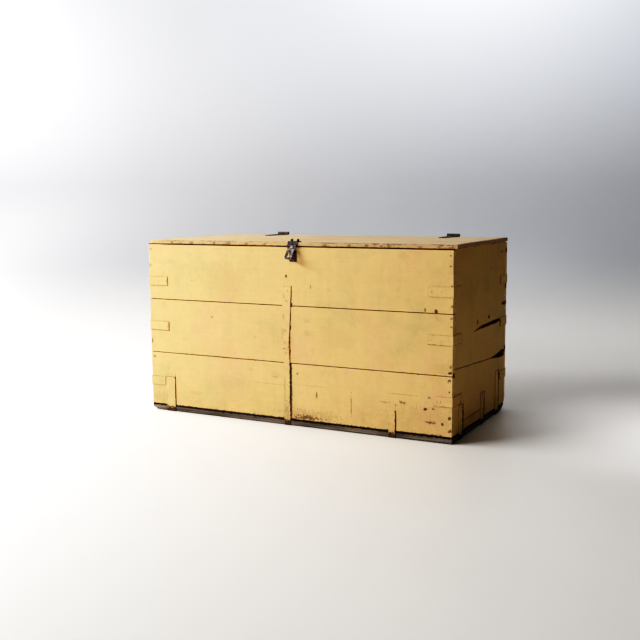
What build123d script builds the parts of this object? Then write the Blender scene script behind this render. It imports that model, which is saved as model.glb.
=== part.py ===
from build123d import *

import os
from math import cos, radians, sin

# Wooden shipping crate: a nailed board case with iron straps and bands, a hinged lid and a hasp.
# Millimetres. The origin is the centre of the case's footprint on the floor, +X runs along the
# length to the right, +Y to the hinge side and +Z up. The lid is shut and the hasp's leaf leans out.

# ---- driving dimensions -------------------------------------------------------------------------

# case
case_length = 1220.0
case_depth = 604.0
rim_height = 643.0          # floor to the edge that the lid lies on
wall_thick = 22.0
bottom_thick = 22.0
joint_gap = 1.5             # open line between neighbouring boards
arris = 1.0                 # eased edge of every board
overcut = 1.0               # how far a cutting shape reaches past the wood

# heights of the joints in the front and back walls
lower_joint = 227.0
upper_joint = 432.0

# joint between the two boards of an end, which runs out of level
end_joint_front = 248.0
end_joint_back = 214.0

# hollow in the front wall's top edge, and the length at the left that still meets the lid
rim_hollow = 4.0
rim_contact = 62.0

# bottom boards
bottom_front_width = 205.0
bottom_back_width = 190.0

# rope-handle holes through the ends
rope_hole_radius = 7.0
rope_hole_spacing = 132.0
rope_hole_height = 380.0
rope_hole_offset = 19.0     # middle of the pair, behind the end's centre line

# open split in the right end's upper board
split_height = 352.0
split_open = 13.0
split_outline = [           # place along the depth, and height as a share of the opening
    (-107.0, -0.4), (-11.0, 0.35), (144.0, 0.6), (262.0, 0.0), (157.0, -0.4), (-21.0, -0.2),
]

# wood broken out of the right end's joint, at its back end
break_length = 180.0
break_drop = 7.0
break_rise = 22.0
break_outline = [           # share of the length from the back end, and of the rise or the drop
    (1.0, 0.0), (0.45, 0.45), (0.18, 1.0), (0.0, 0.9), (0.0, -0.5), (0.3, -1.0), (0.7, -0.4),
]

# worn bottom corners
back_corner_height = 50.0
back_corner_depth = 72.0
back_corner_length = 80.0
front_corner_height = 20.0
front_corner_depth = 24.0
front_corner_length = 30.0
corner_fade = 0.05          # share of the wear that is left at the far end
corner_bulge_depth = 0.26   # where the rounded face bulges most, as shares of depth and height
corner_bulge_height = 0.34

# lid
lid_thick = 14.0
lid_front_overhang = 1.0
lid_left_inset = 10.0       # at the front; the ends are sawn out of square
lid_right_overhang = 13.0
lid_skew = 12.0             # how far each end runs to the left from front to back
lid_front_width = 216.0
lid_back_width = 172.0
batten_width = 62.0
batten_thick = 20.0
batten_spread = 760.0
batten_clearance = 9.0      # from the batten's ends to the walls

# iron straps and bands
strap_thick = 2.0
strap_width = 34.0
strap_bend = 1.5            # outer radius of a bend
corner_leg_long = {"lower": 64.0, "middle": 87.0, "upper": 85.0}     # on the long walls
corner_leg_end = 82.0
corner_heights = {
    "left": {"lower": 99.0, "middle": 313.0, "upper": 484.0},
    "right": {"lower": 124.0, "middle": 328.0, "upper": 486.0},
}
band_width = 25.0
left_band_width = 40.0
left_band_place = -521.0
right_band_place = 397.0
centre_band_place = -9.0
left_band_height = 135.0
right_band_height = 93.0
centre_band_height = 318.0
band_back_height = 110.0
centre_strap_width = 32.0
centre_strap_place = -17.0  # middle of its lower end
centre_strap_bottom = 277.0
centre_strap_gap = 87.0     # from its top end to the staple plate above
centre_strap_tilt = 3.0     # degrees that the strap leans to the right
centre_strap_step = 4.0     # from the band's top end to the step over it
centre_strap_tip = 12.8     # radius of its lower corners
end_band_width = 38.0
end_band_under = 46.0
end_band_places = {"front": -217.0, "middle": 19.0, "back": 194.0}
end_band_heights = {"middle": 117.0, "back": 164.0}
end_band_gap = 4.0          # from the front band's top to the corner strap above it

# hinges
hinge_offset = 14.0         # middle of the pair, right of the case's centre
hinge_spread = 760.0
hinge_width = 50.0
hinge_leaf_thick = 2.5
hinge_barrel_radius = 6.0
hinge_pin_radius = 2.5
hinge_pin_fit = 0.05        # radial clearance of a pin in its knuckles
knuckle_gap = 0.4
knuckle_tab = 6.0           # how far a case knuckle's tab laps its leaf
pin_head_lip = 1.0          # spread end of a pin, beyond its radius
pin_head_length = 1.2
hinge_leaf_gap = 1.0        # from a leaf to the edge that it stops at
lid_leaf_length = 133.0
lid_leaf_tip = 24.0
lid_leaf_corner = 9.6
case_leaf_height = 62.0
case_leaf_corner = 4.0

# hasp
hasp_place = 20.0           # right of the case's centre
hasp_width = 38.0
hasp_thick = 3.0
hasp_plate_length = 28.0
hasp_bend = 2.7             # outer radius where the plate turns over the lid
hasp_barrel_radius = 5.5
hasp_pin_radius = 2.4
hasp_leaf_width = 29.0
hasp_leaf_length = 56.0
hasp_leaf_corner = 8.7
hasp_plate_gap = 1.0        # from the plate's lower edge to the barrel
hasp_root_gap = 1.5         # from the barrel to the leaf's full width
hasp_lean = 37.0            # degrees from hanging straight down
hasp_slot_width = 9.0
hasp_slot_length = 26.0
staple_drop = 35.5          # hasp's hinge line down to the staple's middle
staple_rod = 5.0
staple_height = 18.0
staple_reach = 18.0
staple_bend = 3.9
staple_through = 2.0        # how far the legs stop short of the wall's inner face
staple_plate_width = 28.0
staple_plate_height = 40.0
staple_plate_corner = 3.0
staple_plate_thick = 2.5

# fasteners: head radius, head height, how far the head is let in, shank radius, shank length
wall_nail = (3.0, 1.2, 1.2, 1.5, 52.0)
strap_nail = (3.4, 1.2, 0.0, 1.5, 18.0)
lid_nail = (3.0, 1.2, 1.2, 1.5, 30.0)
hinge_screw = (3.6, 1.6, 0.8, 1.8, 16.0)
lid_screw = (3.6, 1.6, 0.8, 1.8, 12.0)
hasp_bolt = (5.0, 8.0, 0.0, 2.5, 15.0)
plate_nail = (2.6, 1.0, 0.0, 1.2, 14.0)
wall_nails_per_board = 6
wall_nail_margin = 18.0
bottom_nails_per_side = 12
bottom_nail_margin = 150.0
bottom_nails_per_end = 4
bottom_end_nail_margin = 130.0
corner_nail_inset = 42.0    # from the corner
corner_nail_edge = 9.0      # from the leg's tip
band_nail_edge = 12.0
band_nail_share = 0.45      # the lower nail's height as a share of the leg's
centre_nail_drop = 15.0     # below the centre strap's top end
centre_nail_joint = 20.0    # below the upper joint
centre_nail_rise = 40.0     # above the band's top end
lid_nails_per_board = 3
lid_nail_margin = 34.0
lid_nail_stagger = 12.0
case_leaf_screw_drop = 18.0 # below the rim
case_leaf_screw_rise = 12.0 # above the leaf's lower end
case_leaf_screw_side = 15.0
lid_leaf_screws = 3
lid_leaf_screw_margin = 14.0
hasp_bolt_inset = 12.0
hasp_bolt_side = 12.0
plate_nail_side = 5.0
plate_nail_end = 5.0

# ---- values that follow from them ---------------------------------------------------------------

half_length = case_length / 2
half_depth = case_depth / 2
boards_low = strap_thick                    # the bottom boards stand on the bands
walls_low = boards_low + bottom_thick
inner_half_length = half_length - wall_thick
inner_half_depth = half_depth - wall_thick
lid_top = rim_height + lid_thick
lid_front = -half_depth - lid_front_overhang
lid_mid_front = lid_front + lid_front_width
lid_mid_back = half_depth - lid_back_width
hinge_places = {"left": hinge_offset - hinge_spread / 2, "right": hinge_offset + hinge_spread / 2}
hinge_axis_y = half_depth + hinge_barrel_radius
hinge_axis_z = lid_top + hinge_barrel_radius
hasp_axis_y = lid_front - hasp_barrel_radius
hasp_axis_z = rim_height + 0.5
staple_z = hasp_axis_z - staple_drop
centre_strap_top = staple_z - staple_plate_height / 2 - centre_strap_gap
face_out = half_depth + strap_thick         # outer face of the iron on the long walls
side_out = half_length + strap_thick        # and on the ends
SIDES = {"left": -1, "right": 1}
FACES = {"front": -1, "back": 1}


def save(piece, name):
    """Label a finished piece and write it as a STEP file."""
    piece.part.label = name
    export_step(piece.part, f"parts/{name}.step")


# ---- boards -------------------------------------------------------------------------------------


def make_board(x_span, y_span, z_span, cuts=()):
    """A sawn board that fills three spans, with its edges eased and the given shapes cut away."""
    with BuildPart() as board:
        with BuildSketch(Plane.XY.offset(z_span[0])):
            with Locations((sum(x_span) / 2, sum(y_span) / 2)):
                Rectangle(x_span[1] - x_span[0], y_span[1] - y_span[0])
        extrude(amount=z_span[1] - z_span[0])
        chamfer(board.edges(), length=arris)
        for cut in cuts:
            add(cut, mode=Mode.SUBTRACT)
    return board


def make_wear(side, face, height, depth, length):
    """The wood worn off a bottom corner: a rounded bite out of the end that fades along the wall."""
    with BuildPart() as wear:
        for share, inset in ((1.0, -overcut), (corner_fade, length)):
            with BuildSketch(Plane.YZ.offset(side * (half_length - inset))):
                out = half_depth - depth * share
                high = boards_low + height * share
                bulge = (
                    half_depth - depth * share * corner_bulge_depth,
                    boards_low + height * share * corner_bulge_height,
                )
                with BuildLine():
                    Polyline(
                        (face * out, boards_low),
                        (face * out, boards_low - overcut),
                        (face * (half_depth + overcut), boards_low - overcut),
                        (face * (half_depth + overcut), high),
                        (face * half_depth, high),
                    )
                    ThreePointArc(
                        (face * half_depth, high), (face * bulge[0], bulge[1]), (face * out, boards_low)
                    )
                make_face()
        loft(ruled=True)
    return wear.part


back_wear = make_wear(1, 1, back_corner_height, back_corner_depth, back_corner_length)
front_wear = make_wear(-1, -1, front_corner_height, front_corner_depth, front_corner_length)


def wall_rows(top):
    """The height spans of a long wall's boards, from the bottom up."""
    return {
        "bottom": (walls_low, lower_joint - joint_gap / 2),
        "middle": (lower_joint + joint_gap / 2, upper_joint - joint_gap / 2),
        "top": (upper_joint + joint_gap / 2, top),
    }


def make_rim_hollow():
    """The shallow hollow along the front wall's top edge."""
    start = -half_length + rim_contact
    with BuildPart() as hollow:
        with BuildSketch(Plane.XZ.offset(half_depth + arris)):
            with BuildLine():
                Polyline(
                    (start, rim_height + arris),
                    (start + rim_hollow, rim_height - rim_hollow),
                    (half_length + arris, rim_height - rim_hollow),
                    (half_length + arris, rim_height + arris),
                    close=True,
                )
            make_face()
        extrude(amount=-(wall_thick + 2 * arris))
    return hollow.part


def make_front_wall():
    """Three front boards; the top one is hollowed so that it meets the lid only at its left end."""
    y_span = (-half_depth, -inner_half_depth)
    cuts = {"top": [make_rim_hollow()], "middle": [], "bottom": [front_wear]}
    for row, z_span in wall_rows(rim_height).items():
        board = make_board((-half_length, half_length), y_span, z_span, cuts[row])
        save(board, f"front_board_{row}")


def make_back_wall():
    """Three back boards, which stop below the lid by the depth of the front's hollow."""
    y_span = (inner_half_depth, half_depth)
    cuts = {"top": [], "middle": [], "bottom": [back_wear]}
    for row, z_span in wall_rows(rim_height - rim_hollow).items():
        board = make_board((-half_length, half_length), y_span, z_span, cuts[row])
        save(board, f"back_board_{row}")


def end_joint(y):
    """Height of an end's joint at a place along its depth."""
    share = (y + inner_half_depth) / (2 * inner_half_depth)
    return end_joint_front + (end_joint_back - end_joint_front) * share


def make_end_board(side, outline, cuts=()):
    """A board of one end, with an outline given in the end's own Y and Z."""
    start = half_length if side > 0 else -inner_half_length
    with BuildPart() as board:
        with BuildSketch(Plane.YZ.offset(start)):
            with BuildLine():
                Polyline(*outline, close=True)
            make_face()
        extrude(amount=-wall_thick)
        chamfer(board.edges(), length=arris)
        for cut in cuts:
            add(cut, mode=Mode.SUBTRACT)
    return board


def make_end_cut(side, points):
    """A shape that goes through an end, given by its corners in Y and Z."""
    with BuildPart() as cut:
        with BuildSketch(Plane.YZ.offset(side * half_length)):
            with BuildLine():
                Polyline(*points, close=True)
            make_face()
        extrude(amount=wall_thick + arris, both=True)
    return cut.part


def make_rope_holes(side):
    """The pair of holes for a rope handle, as a shape that goes through an end."""
    with BuildPart() as holes:
        with BuildSketch(Plane.YZ.offset(side * half_length)):
            with Locations((rope_hole_offset, rope_hole_height)):
                with GridLocations(rope_hole_spacing, 1, 2, 1):
                    Circle(rope_hole_radius)
        extrude(amount=wall_thick + arris, both=True)
    return holes.part


def make_ends():
    """Two boards for each end. The right end is split and broken out along its joint."""
    low, high = -inner_half_depth, inner_half_depth
    half_gap = joint_gap / 2
    bite = []
    for share, height in break_outline:
        y = high + overcut if share == 0 else high - break_length * share
        bite.append((y, end_joint(y) + height * (break_rise if height > 0 else break_drop)))
    split = [(y, split_height + share * split_open) for y, share in split_outline]
    for name, side in SIDES.items():
        upper_cuts = [make_rope_holes(side)]
        lower_cuts = [front_wear, back_wear]
        if side > 0:
            upper_cuts += [make_end_cut(side, split), make_end_cut(side, bite)]
            lower_cuts += [make_end_cut(side, bite)]
        upper = make_end_board(
            side,
            [
                (low, end_joint(low) + half_gap),
                (high, end_joint(high) + half_gap),
                (high, rim_height),
                (low, rim_height),
            ],
            upper_cuts,
        )
        lower = make_end_board(
            side,
            [
                (low, walls_low),
                (high, walls_low),
                (high, end_joint(high) - half_gap),
                (low, end_joint(low) - half_gap),
            ],
            lower_cuts,
        )
        save(upper, f"{name}_end_board_upper")
        save(lower, f"{name}_end_board_lower")


def make_bottom():
    """Three boards under the walls, running lengthwise."""
    seams = (-half_depth + bottom_front_width, half_depth - bottom_back_width)
    spans = {
        "front": (-half_depth, seams[0] - joint_gap / 2),
        "middle": (seams[0] + joint_gap / 2, seams[1] - joint_gap / 2),
        "back": (seams[1] + joint_gap / 2, half_depth),
    }
    for name, y_span in spans.items():
        z_span = (boards_low, walls_low)
        board = make_board((-half_length, half_length), y_span, z_span, [back_wear, front_wear])
        save(board, f"bottom_board_{name}")


# ---- lid ----------------------------------------------------------------------------------------


def lid_shift(y):
    """How far the lid's ends have run to the left at a place along its depth."""
    return lid_skew * (y - lid_front) / (half_depth - lid_front)


def make_lid_boards():
    """Three boards running lengthwise, their ends sawn to the same slant."""
    spans = {
        "front": (lid_front, lid_mid_front - joint_gap / 2),
        "middle": (lid_mid_front + joint_gap / 2, lid_mid_back - joint_gap / 2),
        "back": (lid_mid_back + joint_gap / 2, half_depth),
    }
    left = -half_length + lid_left_inset
    right = half_length + lid_right_overhang
    for name, (front, back) in spans.items():
        with BuildPart() as board:
            with BuildSketch(Plane.XY.offset(rim_height)):
                with BuildLine():
                    Polyline(
                        (left - lid_shift(front), front),
                        (right - lid_shift(front), front),
                        (right - lid_shift(back), back),
                        (left - lid_shift(back), back),
                        close=True,
                    )
                make_face()
            extrude(amount=lid_thick)
            chamfer(board.edges(), length=arris)
        save(board, f"lid_board_{name}")


def make_battens():
    """Two battens under the lid that hold its boards together inside the rim."""
    reach = inner_half_depth - batten_clearance
    for name, side in SIDES.items():
        middle = side * batten_spread / 2
        batten = make_board(
            (middle - batten_width / 2, middle + batten_width / 2),
            (-reach, reach),
            (rim_height - batten_thick, rim_height),
        )
        save(batten, f"lid_batten_{name}")


# ---- straps and bands ---------------------------------------------------------------------------


def make_corner_strap(side, face, leg_long, height):
    """A strap bent round one upright corner."""
    inner_x, outer_x = side * half_length, side * (half_length + strap_thick)
    inner_y, outer_y = face * half_depth, face * (half_depth + strap_thick)
    leg_x = side * (half_length - leg_long)
    leg_y = face * (half_depth - corner_leg_end)
    with BuildPart() as strap:
        with BuildSketch(Plane.XY.offset(height)):
            with BuildLine():
                Polyline(
                    (leg_x, inner_y),
                    (inner_x, inner_y),
                    (inner_x, leg_y),
                    (outer_x, leg_y),
                    (outer_x, outer_y),
                    (leg_x, outer_y),
                    close=True,
                )
            make_face()
        extrude(amount=strap_width)
        upright = strap.edges().filter_by(Axis.Z)
        outer = upright.sort_by(lambda e: side * e.center().X + face * e.center().Y)[-1]
        fillet(outer, radius=strap_bend)
    return strap


def make_corner_straps():
    """Three straps on each upright corner."""
    for face_name, face in FACES.items():
        for side_name, side in SIDES.items():
            for row, height in corner_heights[side_name].items():
                strap = make_corner_strap(side, face, corner_leg_long[row], height)
                save(strap, f"{face_name}_{side_name}_corner_strap_{row}")


def make_bottom_band(name, place, width, front_height):
    """A band down the front wall, under the bottom and up the back wall."""
    out = half_depth + strap_thick
    with BuildPart() as band:
        with BuildSketch(Plane.YZ.offset(place - width / 2)):
            with BuildLine():
                Polyline(
                    (-half_depth, front_height),
                    (-half_depth, strap_thick),
                    (half_depth, strap_thick),
                    (half_depth, band_back_height),
                    (out, band_back_height),
                    (out, 0),
                    (-out, 0),
                    (-out, front_height),
                    close=True,
                )
            make_face()
        extrude(amount=width)
        bends = band.edges().filter_by(Axis.X).group_by(Axis.Z)[0]
        fillet(bends, radius=strap_bend)
    save(band, f"bottom_band_{name}")


def end_band_height(side_name, name):
    """How far up an end band runs; the front one stops short of the corner strap above it."""
    if name == "front":
        return corner_heights[side_name]["lower"] - end_band_gap
    return end_band_heights[name]


def make_end_band(side, place, height):
    """A short band up one end, turned under the bottom."""
    under = half_length - end_band_under
    with BuildPart() as band:
        with BuildSketch(Plane.XZ.offset(-(place - end_band_width / 2))):
            with BuildLine():
                Polyline(
                    (side * half_length, height),
                    (side * half_length, strap_thick),
                    (side * under, strap_thick),
                    (side * under, 0),
                    (side * (half_length + strap_thick), 0),
                    (side * (half_length + strap_thick), height),
                    close=True,
                )
            make_face()
        extrude(amount=-end_band_width)
        low = band.edges().filter_by(Axis.Y).group_by(Axis.Z)[0]
        fillet(low.sort_by(lambda e: side * e.center().X)[-1], radius=strap_bend)
    return band


def make_end_bands():
    """Three short bands on each end."""
    for side_name, side in SIDES.items():
        for name, place in end_band_places.items():
            band = make_end_band(side, place, end_band_height(side_name, name))
            save(band, f"{side_name}_end_band_{name}")


def make_centre_strap():
    """The upper strap on the front's centre line, stepped out over the band's top end."""
    lean = radians(centre_strap_tilt)
    step_low = centre_band_height + centre_strap_step
    step_high = step_low + 3 * strap_thick
    slope = Plane(
        origin=(centre_strap_place, 0, centre_strap_bottom),
        x_dir=(0, 1, 0),
        z_dir=(cos(lean), 0, -sin(lean)),
    )
    face = -half_depth
    length = (centre_strap_top - centre_strap_bottom) / cos(lean)
    low = step_low - centre_strap_bottom
    high = step_high - centre_strap_bottom
    with BuildPart() as strap:
        with BuildSketch(slope):
            with BuildLine():
                Polyline(
                    (face - strap_thick, 0),
                    (face - strap_thick, low),
                    (face, high),
                    (face, length),
                    (face - strap_thick, length),
                    (face - strap_thick, high),
                    (face - 2 * strap_thick, low),
                    (face - 2 * strap_thick, 0),
                    close=True,
                )
            make_face()
        extrude(amount=centre_strap_width / 2, both=True)
        lowest = strap.faces().sort_by(Axis.Z)[0]
        fillet(lowest.edges().filter_by(Axis.Y), radius=centre_strap_tip)
    save(strap, "centre_strap")


# ---- hinges -------------------------------------------------------------------------------------


def knuckle_spans(centre, width):
    """The X spans of a barrel's three knuckles: left, middle and right."""
    third = width / 3
    left = centre - width / 2
    return [
        (left, left + third - knuckle_gap),
        (left + third, left + 2 * third),
        (left + 2 * third + knuckle_gap, left + width),
    ]


def make_knuckles(spans, axis, radius, bore, tab):
    """Knuckles on an axis along X, each with a tab back to its leaf."""
    with BuildPart() as knuckles:
        for start, end in spans:
            with BuildSketch(Plane.YZ.offset(start)):
                with Locations(axis):
                    Circle(radius)
                with BuildLine():
                    Polyline(*tab, close=True)
                make_face()
                with Locations(axis):
                    Circle(bore, mode=Mode.SUBTRACT)
            extrude(amount=end - start)
    return knuckles.part


def make_hinges():
    """Two hinges: a tapered leaf along the lid's top, a leaf down the back wall, and the pin."""
    axis = (hinge_axis_y, hinge_axis_z)
    bore = hinge_pin_radius + hinge_pin_fit
    leaf_edge = half_depth - hinge_leaf_gap
    leaf_top = rim_height - hinge_leaf_gap
    for name, place in hinge_places.items():
        left, middle, right = knuckle_spans(place, hinge_width)
        lid_tab = [
            (leaf_edge, lid_top),
            (hinge_axis_y, lid_top),
            (hinge_axis_y, lid_top + hinge_leaf_thick),
            (leaf_edge, lid_top + hinge_leaf_thick),
        ]
        lid_knuckle = make_knuckles([middle], axis, hinge_barrel_radius, bore, lid_tab)
        with BuildPart() as lid_leaf:
            with BuildSketch(Plane.XY.offset(lid_top)):
                with BuildLine():
                    Polyline(
                        (place - hinge_width / 2, leaf_edge),
                        (place + hinge_width / 2, leaf_edge),
                        (place + lid_leaf_tip / 2, half_depth - lid_leaf_length),
                        (place - lid_leaf_tip / 2, half_depth - lid_leaf_length),
                        close=True,
                    )
                make_face()
            extrude(amount=hinge_leaf_thick)
            tip = lid_leaf.edges().filter_by(Axis.Z).group_by(Axis.Y)[0]
            fillet(tip, radius=lid_leaf_corner)
            add(lid_knuckle)
        save(lid_leaf, f"hinge_lid_leaf_{name}")

        case_tab = [
            (half_depth, leaf_top - knuckle_tab),
            (half_depth + hinge_leaf_thick, leaf_top - knuckle_tab),
            (half_depth + hinge_leaf_thick, hinge_axis_z),
            (half_depth, hinge_axis_z),
        ]
        case_knuckles = make_knuckles([left, right], axis, hinge_barrel_radius, bore, case_tab)
        with BuildPart() as case_leaf:
            with BuildSketch(Plane.XZ.offset(-half_depth)):
                with Locations((place, leaf_top - case_leaf_height / 2)):
                    RectangleRounded(hinge_width, case_leaf_height, case_leaf_corner)
            extrude(amount=-hinge_leaf_thick)
            add(case_knuckles)
        save(case_leaf, f"hinge_case_leaf_{name}")

        with BuildPart() as pin:
            with BuildSketch(Plane.YZ.offset(place - hinge_width / 2)):
                with Locations(axis):
                    Circle(hinge_pin_radius)
            extrude(amount=hinge_width)
            for end in (-1, 1):
                with BuildSketch(Plane.YZ.offset(place + end * hinge_width / 2)):
                    with Locations(axis):
                        Circle(hinge_pin_radius + pin_head_lip)
                extrude(amount=end * pin_head_length)
        save(pin, f"hinge_pin_{name}")


# ---- hasp ---------------------------------------------------------------------------------------

hasp_spans = knuckle_spans(hasp_place, hasp_width)
hasp_axis = (hasp_axis_y, hasp_axis_z)
hasp_bore = hasp_pin_radius + hinge_pin_fit


def make_hasp_plate():
    """The hasp's fixed plate, bent over the lid's front edge, with the two outer knuckles."""
    face_low = hasp_axis_z + hasp_barrel_radius + hasp_plate_gap
    tab = [
        (lid_front - hasp_thick, hasp_axis_z),
        (lid_front, hasp_axis_z),
        (lid_front, face_low),
        (lid_front - hasp_thick, face_low),
    ]
    outer = [hasp_spans[0], hasp_spans[2]]
    knuckles = make_knuckles(outer, hasp_axis, hasp_barrel_radius, hasp_bore, tab)
    with BuildPart() as plate:
        with BuildSketch(Plane.YZ.offset(hasp_place - hasp_width / 2)):
            with BuildLine():
                Polyline(
                    (lid_front, lid_top),
                    (lid_front + hasp_plate_length, lid_top),
                    (lid_front + hasp_plate_length, lid_top + hasp_thick),
                    (lid_front - hasp_thick, lid_top + hasp_thick),
                    (lid_front - hasp_thick, face_low),
                    (lid_front, face_low),
                    close=True,
                )
            make_face()
        extrude(amount=hasp_width)
        bend = plate.edges().filter_by(Axis.X).sort_by(lambda e: e.center().Z - e.center().Y)[-1]
        fillet(bend, radius=hasp_bend)
        add(knuckles)
    save(plate, "hasp_plate")


def make_hasp_pin():
    """The pin through the hasp's knuckles, with its ends spread."""
    with BuildPart() as pin:
        with BuildSketch(Plane.YZ.offset(hasp_place - hasp_width / 2)):
            with Locations(hasp_axis):
                Circle(hasp_pin_radius)
        extrude(amount=hasp_width)
        for end in (-1, 1):
            with BuildSketch(Plane.YZ.offset(hasp_place + end * hasp_width / 2)):
                with Locations(hasp_axis):
                    Circle(hasp_pin_radius + pin_head_lip)
            extrude(amount=end * pin_head_length)
    save(pin, "hasp_pin")


def make_hasp_leaf():
    """The slotted leaf, leaning out from its pin. Drawn down its own slope from the hinge line."""
    lean = radians(hasp_lean)
    down = (0, -sin(lean), -cos(lean))
    slope = Plane(origin=(hasp_place, *hasp_axis), x_dir=(1, 0, 0), z_dir=(0, -cos(lean), sin(lean)))
    root = hasp_barrel_radius + hasp_root_gap
    middle = hasp_spans[1]
    with BuildPart() as leaf:
        with BuildSketch(slope.offset(-hasp_thick / 2)):
            with Locations((0, -(root + hasp_leaf_length) / 2)):
                Rectangle(hasp_leaf_width, hasp_leaf_length - root)
            with Locations((0, -root / 2)):
                Rectangle(middle[1] - middle[0], root)
        extrude(amount=hasp_thick)
        across = leaf.edges().filter_by(Axis(slope.origin, slope.z_dir))
        corners = across.sort_by(Axis(slope.origin, down))[-2:]
        fillet(corners, radius=hasp_leaf_corner)
        with BuildSketch(slope.offset(-hasp_thick)):
            with Locations((0, -staple_drop)):
                SlotOverall(hasp_slot_length, hasp_slot_width, rotation=90)
        extrude(amount=2 * hasp_thick, mode=Mode.SUBTRACT)
        with BuildSketch(Plane.YZ.offset(middle[0])):
            with Locations(hasp_axis):
                Circle(hasp_barrel_radius)
        extrude(amount=middle[1] - middle[0])
        with BuildSketch(Plane.YZ.offset(middle[0])):
            with Locations(hasp_axis):
                Circle(hasp_bore)
        extrude(amount=middle[1] - middle[0], mode=Mode.SUBTRACT)
    save(leaf, "hasp_leaf")


def make_staple_plate():
    """The plate on the front wall behind the leaf."""
    with BuildPart() as plate:
        with BuildSketch(Plane.XZ.offset(half_depth)):
            with Locations((hasp_place, staple_z)):
                RectangleRounded(staple_plate_width, staple_plate_height, staple_plate_corner)
        extrude(amount=staple_plate_thick)
    save(plate, "staple_plate")


def make_staple():
    """The staple: a bent rod whose legs go through the plate and the wall."""
    rod = staple_rod / 2
    nose = -half_depth - staple_plate_thick - staple_reach + rod
    inner = -inner_half_depth - staple_through
    leg = staple_height / 2 - rod
    with BuildPart() as staple:
        with BuildLine(Plane.YZ.offset(hasp_place)):
            FilletPolyline(
                (inner, staple_z + leg),
                (nose, staple_z + leg),
                (nose, staple_z - leg),
                (inner, staple_z - leg),
                radius=staple_bend,
            )
        with BuildSketch(Plane(origin=(hasp_place, inner, staple_z + leg), z_dir=(0, -1, 0))):
            Circle(rod)
        sweep()
    save(staple, "staple")


# ---- fasteners ----------------------------------------------------------------------------------

OUT = {
    "front": (90, 0, 0),
    "back": (-90, 0, 0),
    "left": (0, -90, 0),
    "right": (0, 90, 0),
    "up": (0, 0, 0),
    "down": (180, 0, 0),
}


def make_fasteners(name, places, sizes):
    """A group of like fasteners, each a head on the surface and a shank into the wood."""
    head_radius, head_height, let_in, shank_radius, shank_length = sizes
    inwards = (Align.CENTER, Align.CENTER, Align.MAX)
    head = Location((0, 0, head_height - let_in))
    surfaces = [Location(place, OUT[way]) for place, way in places]
    with BuildPart() as group:
        with Locations(*surfaces):
            Cylinder(shank_radius, shank_length, align=inwards)
        with Locations(*[surface * head for surface in surfaces]):
            Cylinder(head_radius, head_height, align=inwards)
    save(group, name)


def between(start, end, count, margin):
    """Evenly spaced places between two ends, kept a margin in from each."""
    step = (end - start - 2 * margin) / (count - 1)
    return [start + margin + step * i for i in range(count)]


def wall_nail_places():
    """Columns of nails through the long walls into the ends, and rows up into the walls."""
    column = half_length - wall_thick / 2
    places = []
    for face_name, face in FACES.items():
        for z_span in wall_rows(rim_height - rim_hollow).values():
            for z in between(*z_span, wall_nails_per_board, wall_nail_margin):
                for side in SIDES.values():
                    places.append(((side * column, face * half_depth, z), face_name))
    row = half_depth - wall_thick / 2
    for x in between(-half_length, half_length, bottom_nails_per_side, bottom_nail_margin):
        for face in FACES.values():
            places.append(((x, face * row, boards_low), "down"))
    for y in between(-half_depth, half_depth, bottom_nails_per_end, bottom_end_nail_margin):
        for side in SIDES.values():
            places.append(((side * column, y, boards_low), "down"))
    return places


def corner_nail_places():
    """Two nails in each leg of every corner strap."""
    places = []
    for face_name, face in FACES.items():
        for side_name, side in SIDES.items():
            for row, low in corner_heights[side_name].items():
                z = low + strap_width / 2
                for along in (corner_nail_inset, corner_leg_long[row] - corner_nail_edge):
                    x = side * (half_length - along)
                    places.append(((x, face * face_out, z), face_name))
                for along in (corner_nail_inset, corner_leg_end - corner_nail_edge):
                    y = face * (half_depth - along)
                    places.append(((side * side_out, y, z), side_name))
    return places


def band_nail_places():
    """Two nails in each upright leg of every band."""
    places = []
    bands = {
        left_band_place: left_band_height,
        centre_band_place: centre_band_height / 2,
        right_band_place: right_band_height,
    }
    for place, height in bands.items():
        for z in (height - band_nail_edge, height * band_nail_share):
            places.append(((place, -face_out, z), "front"))
        for z in (band_back_height - band_nail_edge, band_back_height * band_nail_share):
            places.append(((place, face_out, z), "back"))
    for side_name, side in SIDES.items():
        for name, place in end_band_places.items():
            height = end_band_height(side_name, name)
            for z in (height - band_nail_edge, height * band_nail_share):
                places.append(((side * side_out, place, z), side_name))
    return places


def centre_nail_places():
    """Nails down the part of the centre strap that lies on the boards."""
    places = []
    heights = (
        centre_strap_top - centre_nail_drop,
        upper_joint - centre_nail_joint,
        centre_band_height + centre_nail_rise,
    )
    for z in heights:
        x = centre_strap_place + (z - centre_strap_bottom) * sin(radians(centre_strap_tilt))
        places.append(((x, -face_out, z), "front"))
    return places


def lid_nail_places():
    """Nails down through the lid's boards into the battens."""
    places = []
    edges = [lid_front, lid_mid_front, lid_mid_back, half_depth]
    for front, back in zip(edges[:-1], edges[1:]):
        for y in between(front, back, lid_nails_per_board, lid_nail_margin):
            for side in SIDES.values():
                x = side * batten_spread / 2
                stagger = lid_nail_stagger if y > (front + back) / 2 else -lid_nail_stagger
                places.append(((x + stagger, y, lid_top), "up"))
    return places


def hinge_screw_places():
    """Three screws in each case leaf."""
    places = []
    out = half_depth + hinge_leaf_thick
    high = rim_height - case_leaf_screw_drop
    for place in hinge_places.values():
        places.append(((place - case_leaf_screw_side, out, high), "back"))
        places.append(((place + case_leaf_screw_side, out, high), "back"))
        low = rim_height - case_leaf_height + case_leaf_screw_rise
        places.append(((place, out, low), "back"))
    return places


def lid_screw_places():
    """Three screws in each lid leaf, in line along its taper."""
    places = []
    for place in hinge_places.values():
        for y in between(half_depth - lid_leaf_length, half_depth, lid_leaf_screws, lid_leaf_screw_margin):
            places.append(((place, y, lid_top + hinge_leaf_thick), "up"))
    return places


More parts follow.
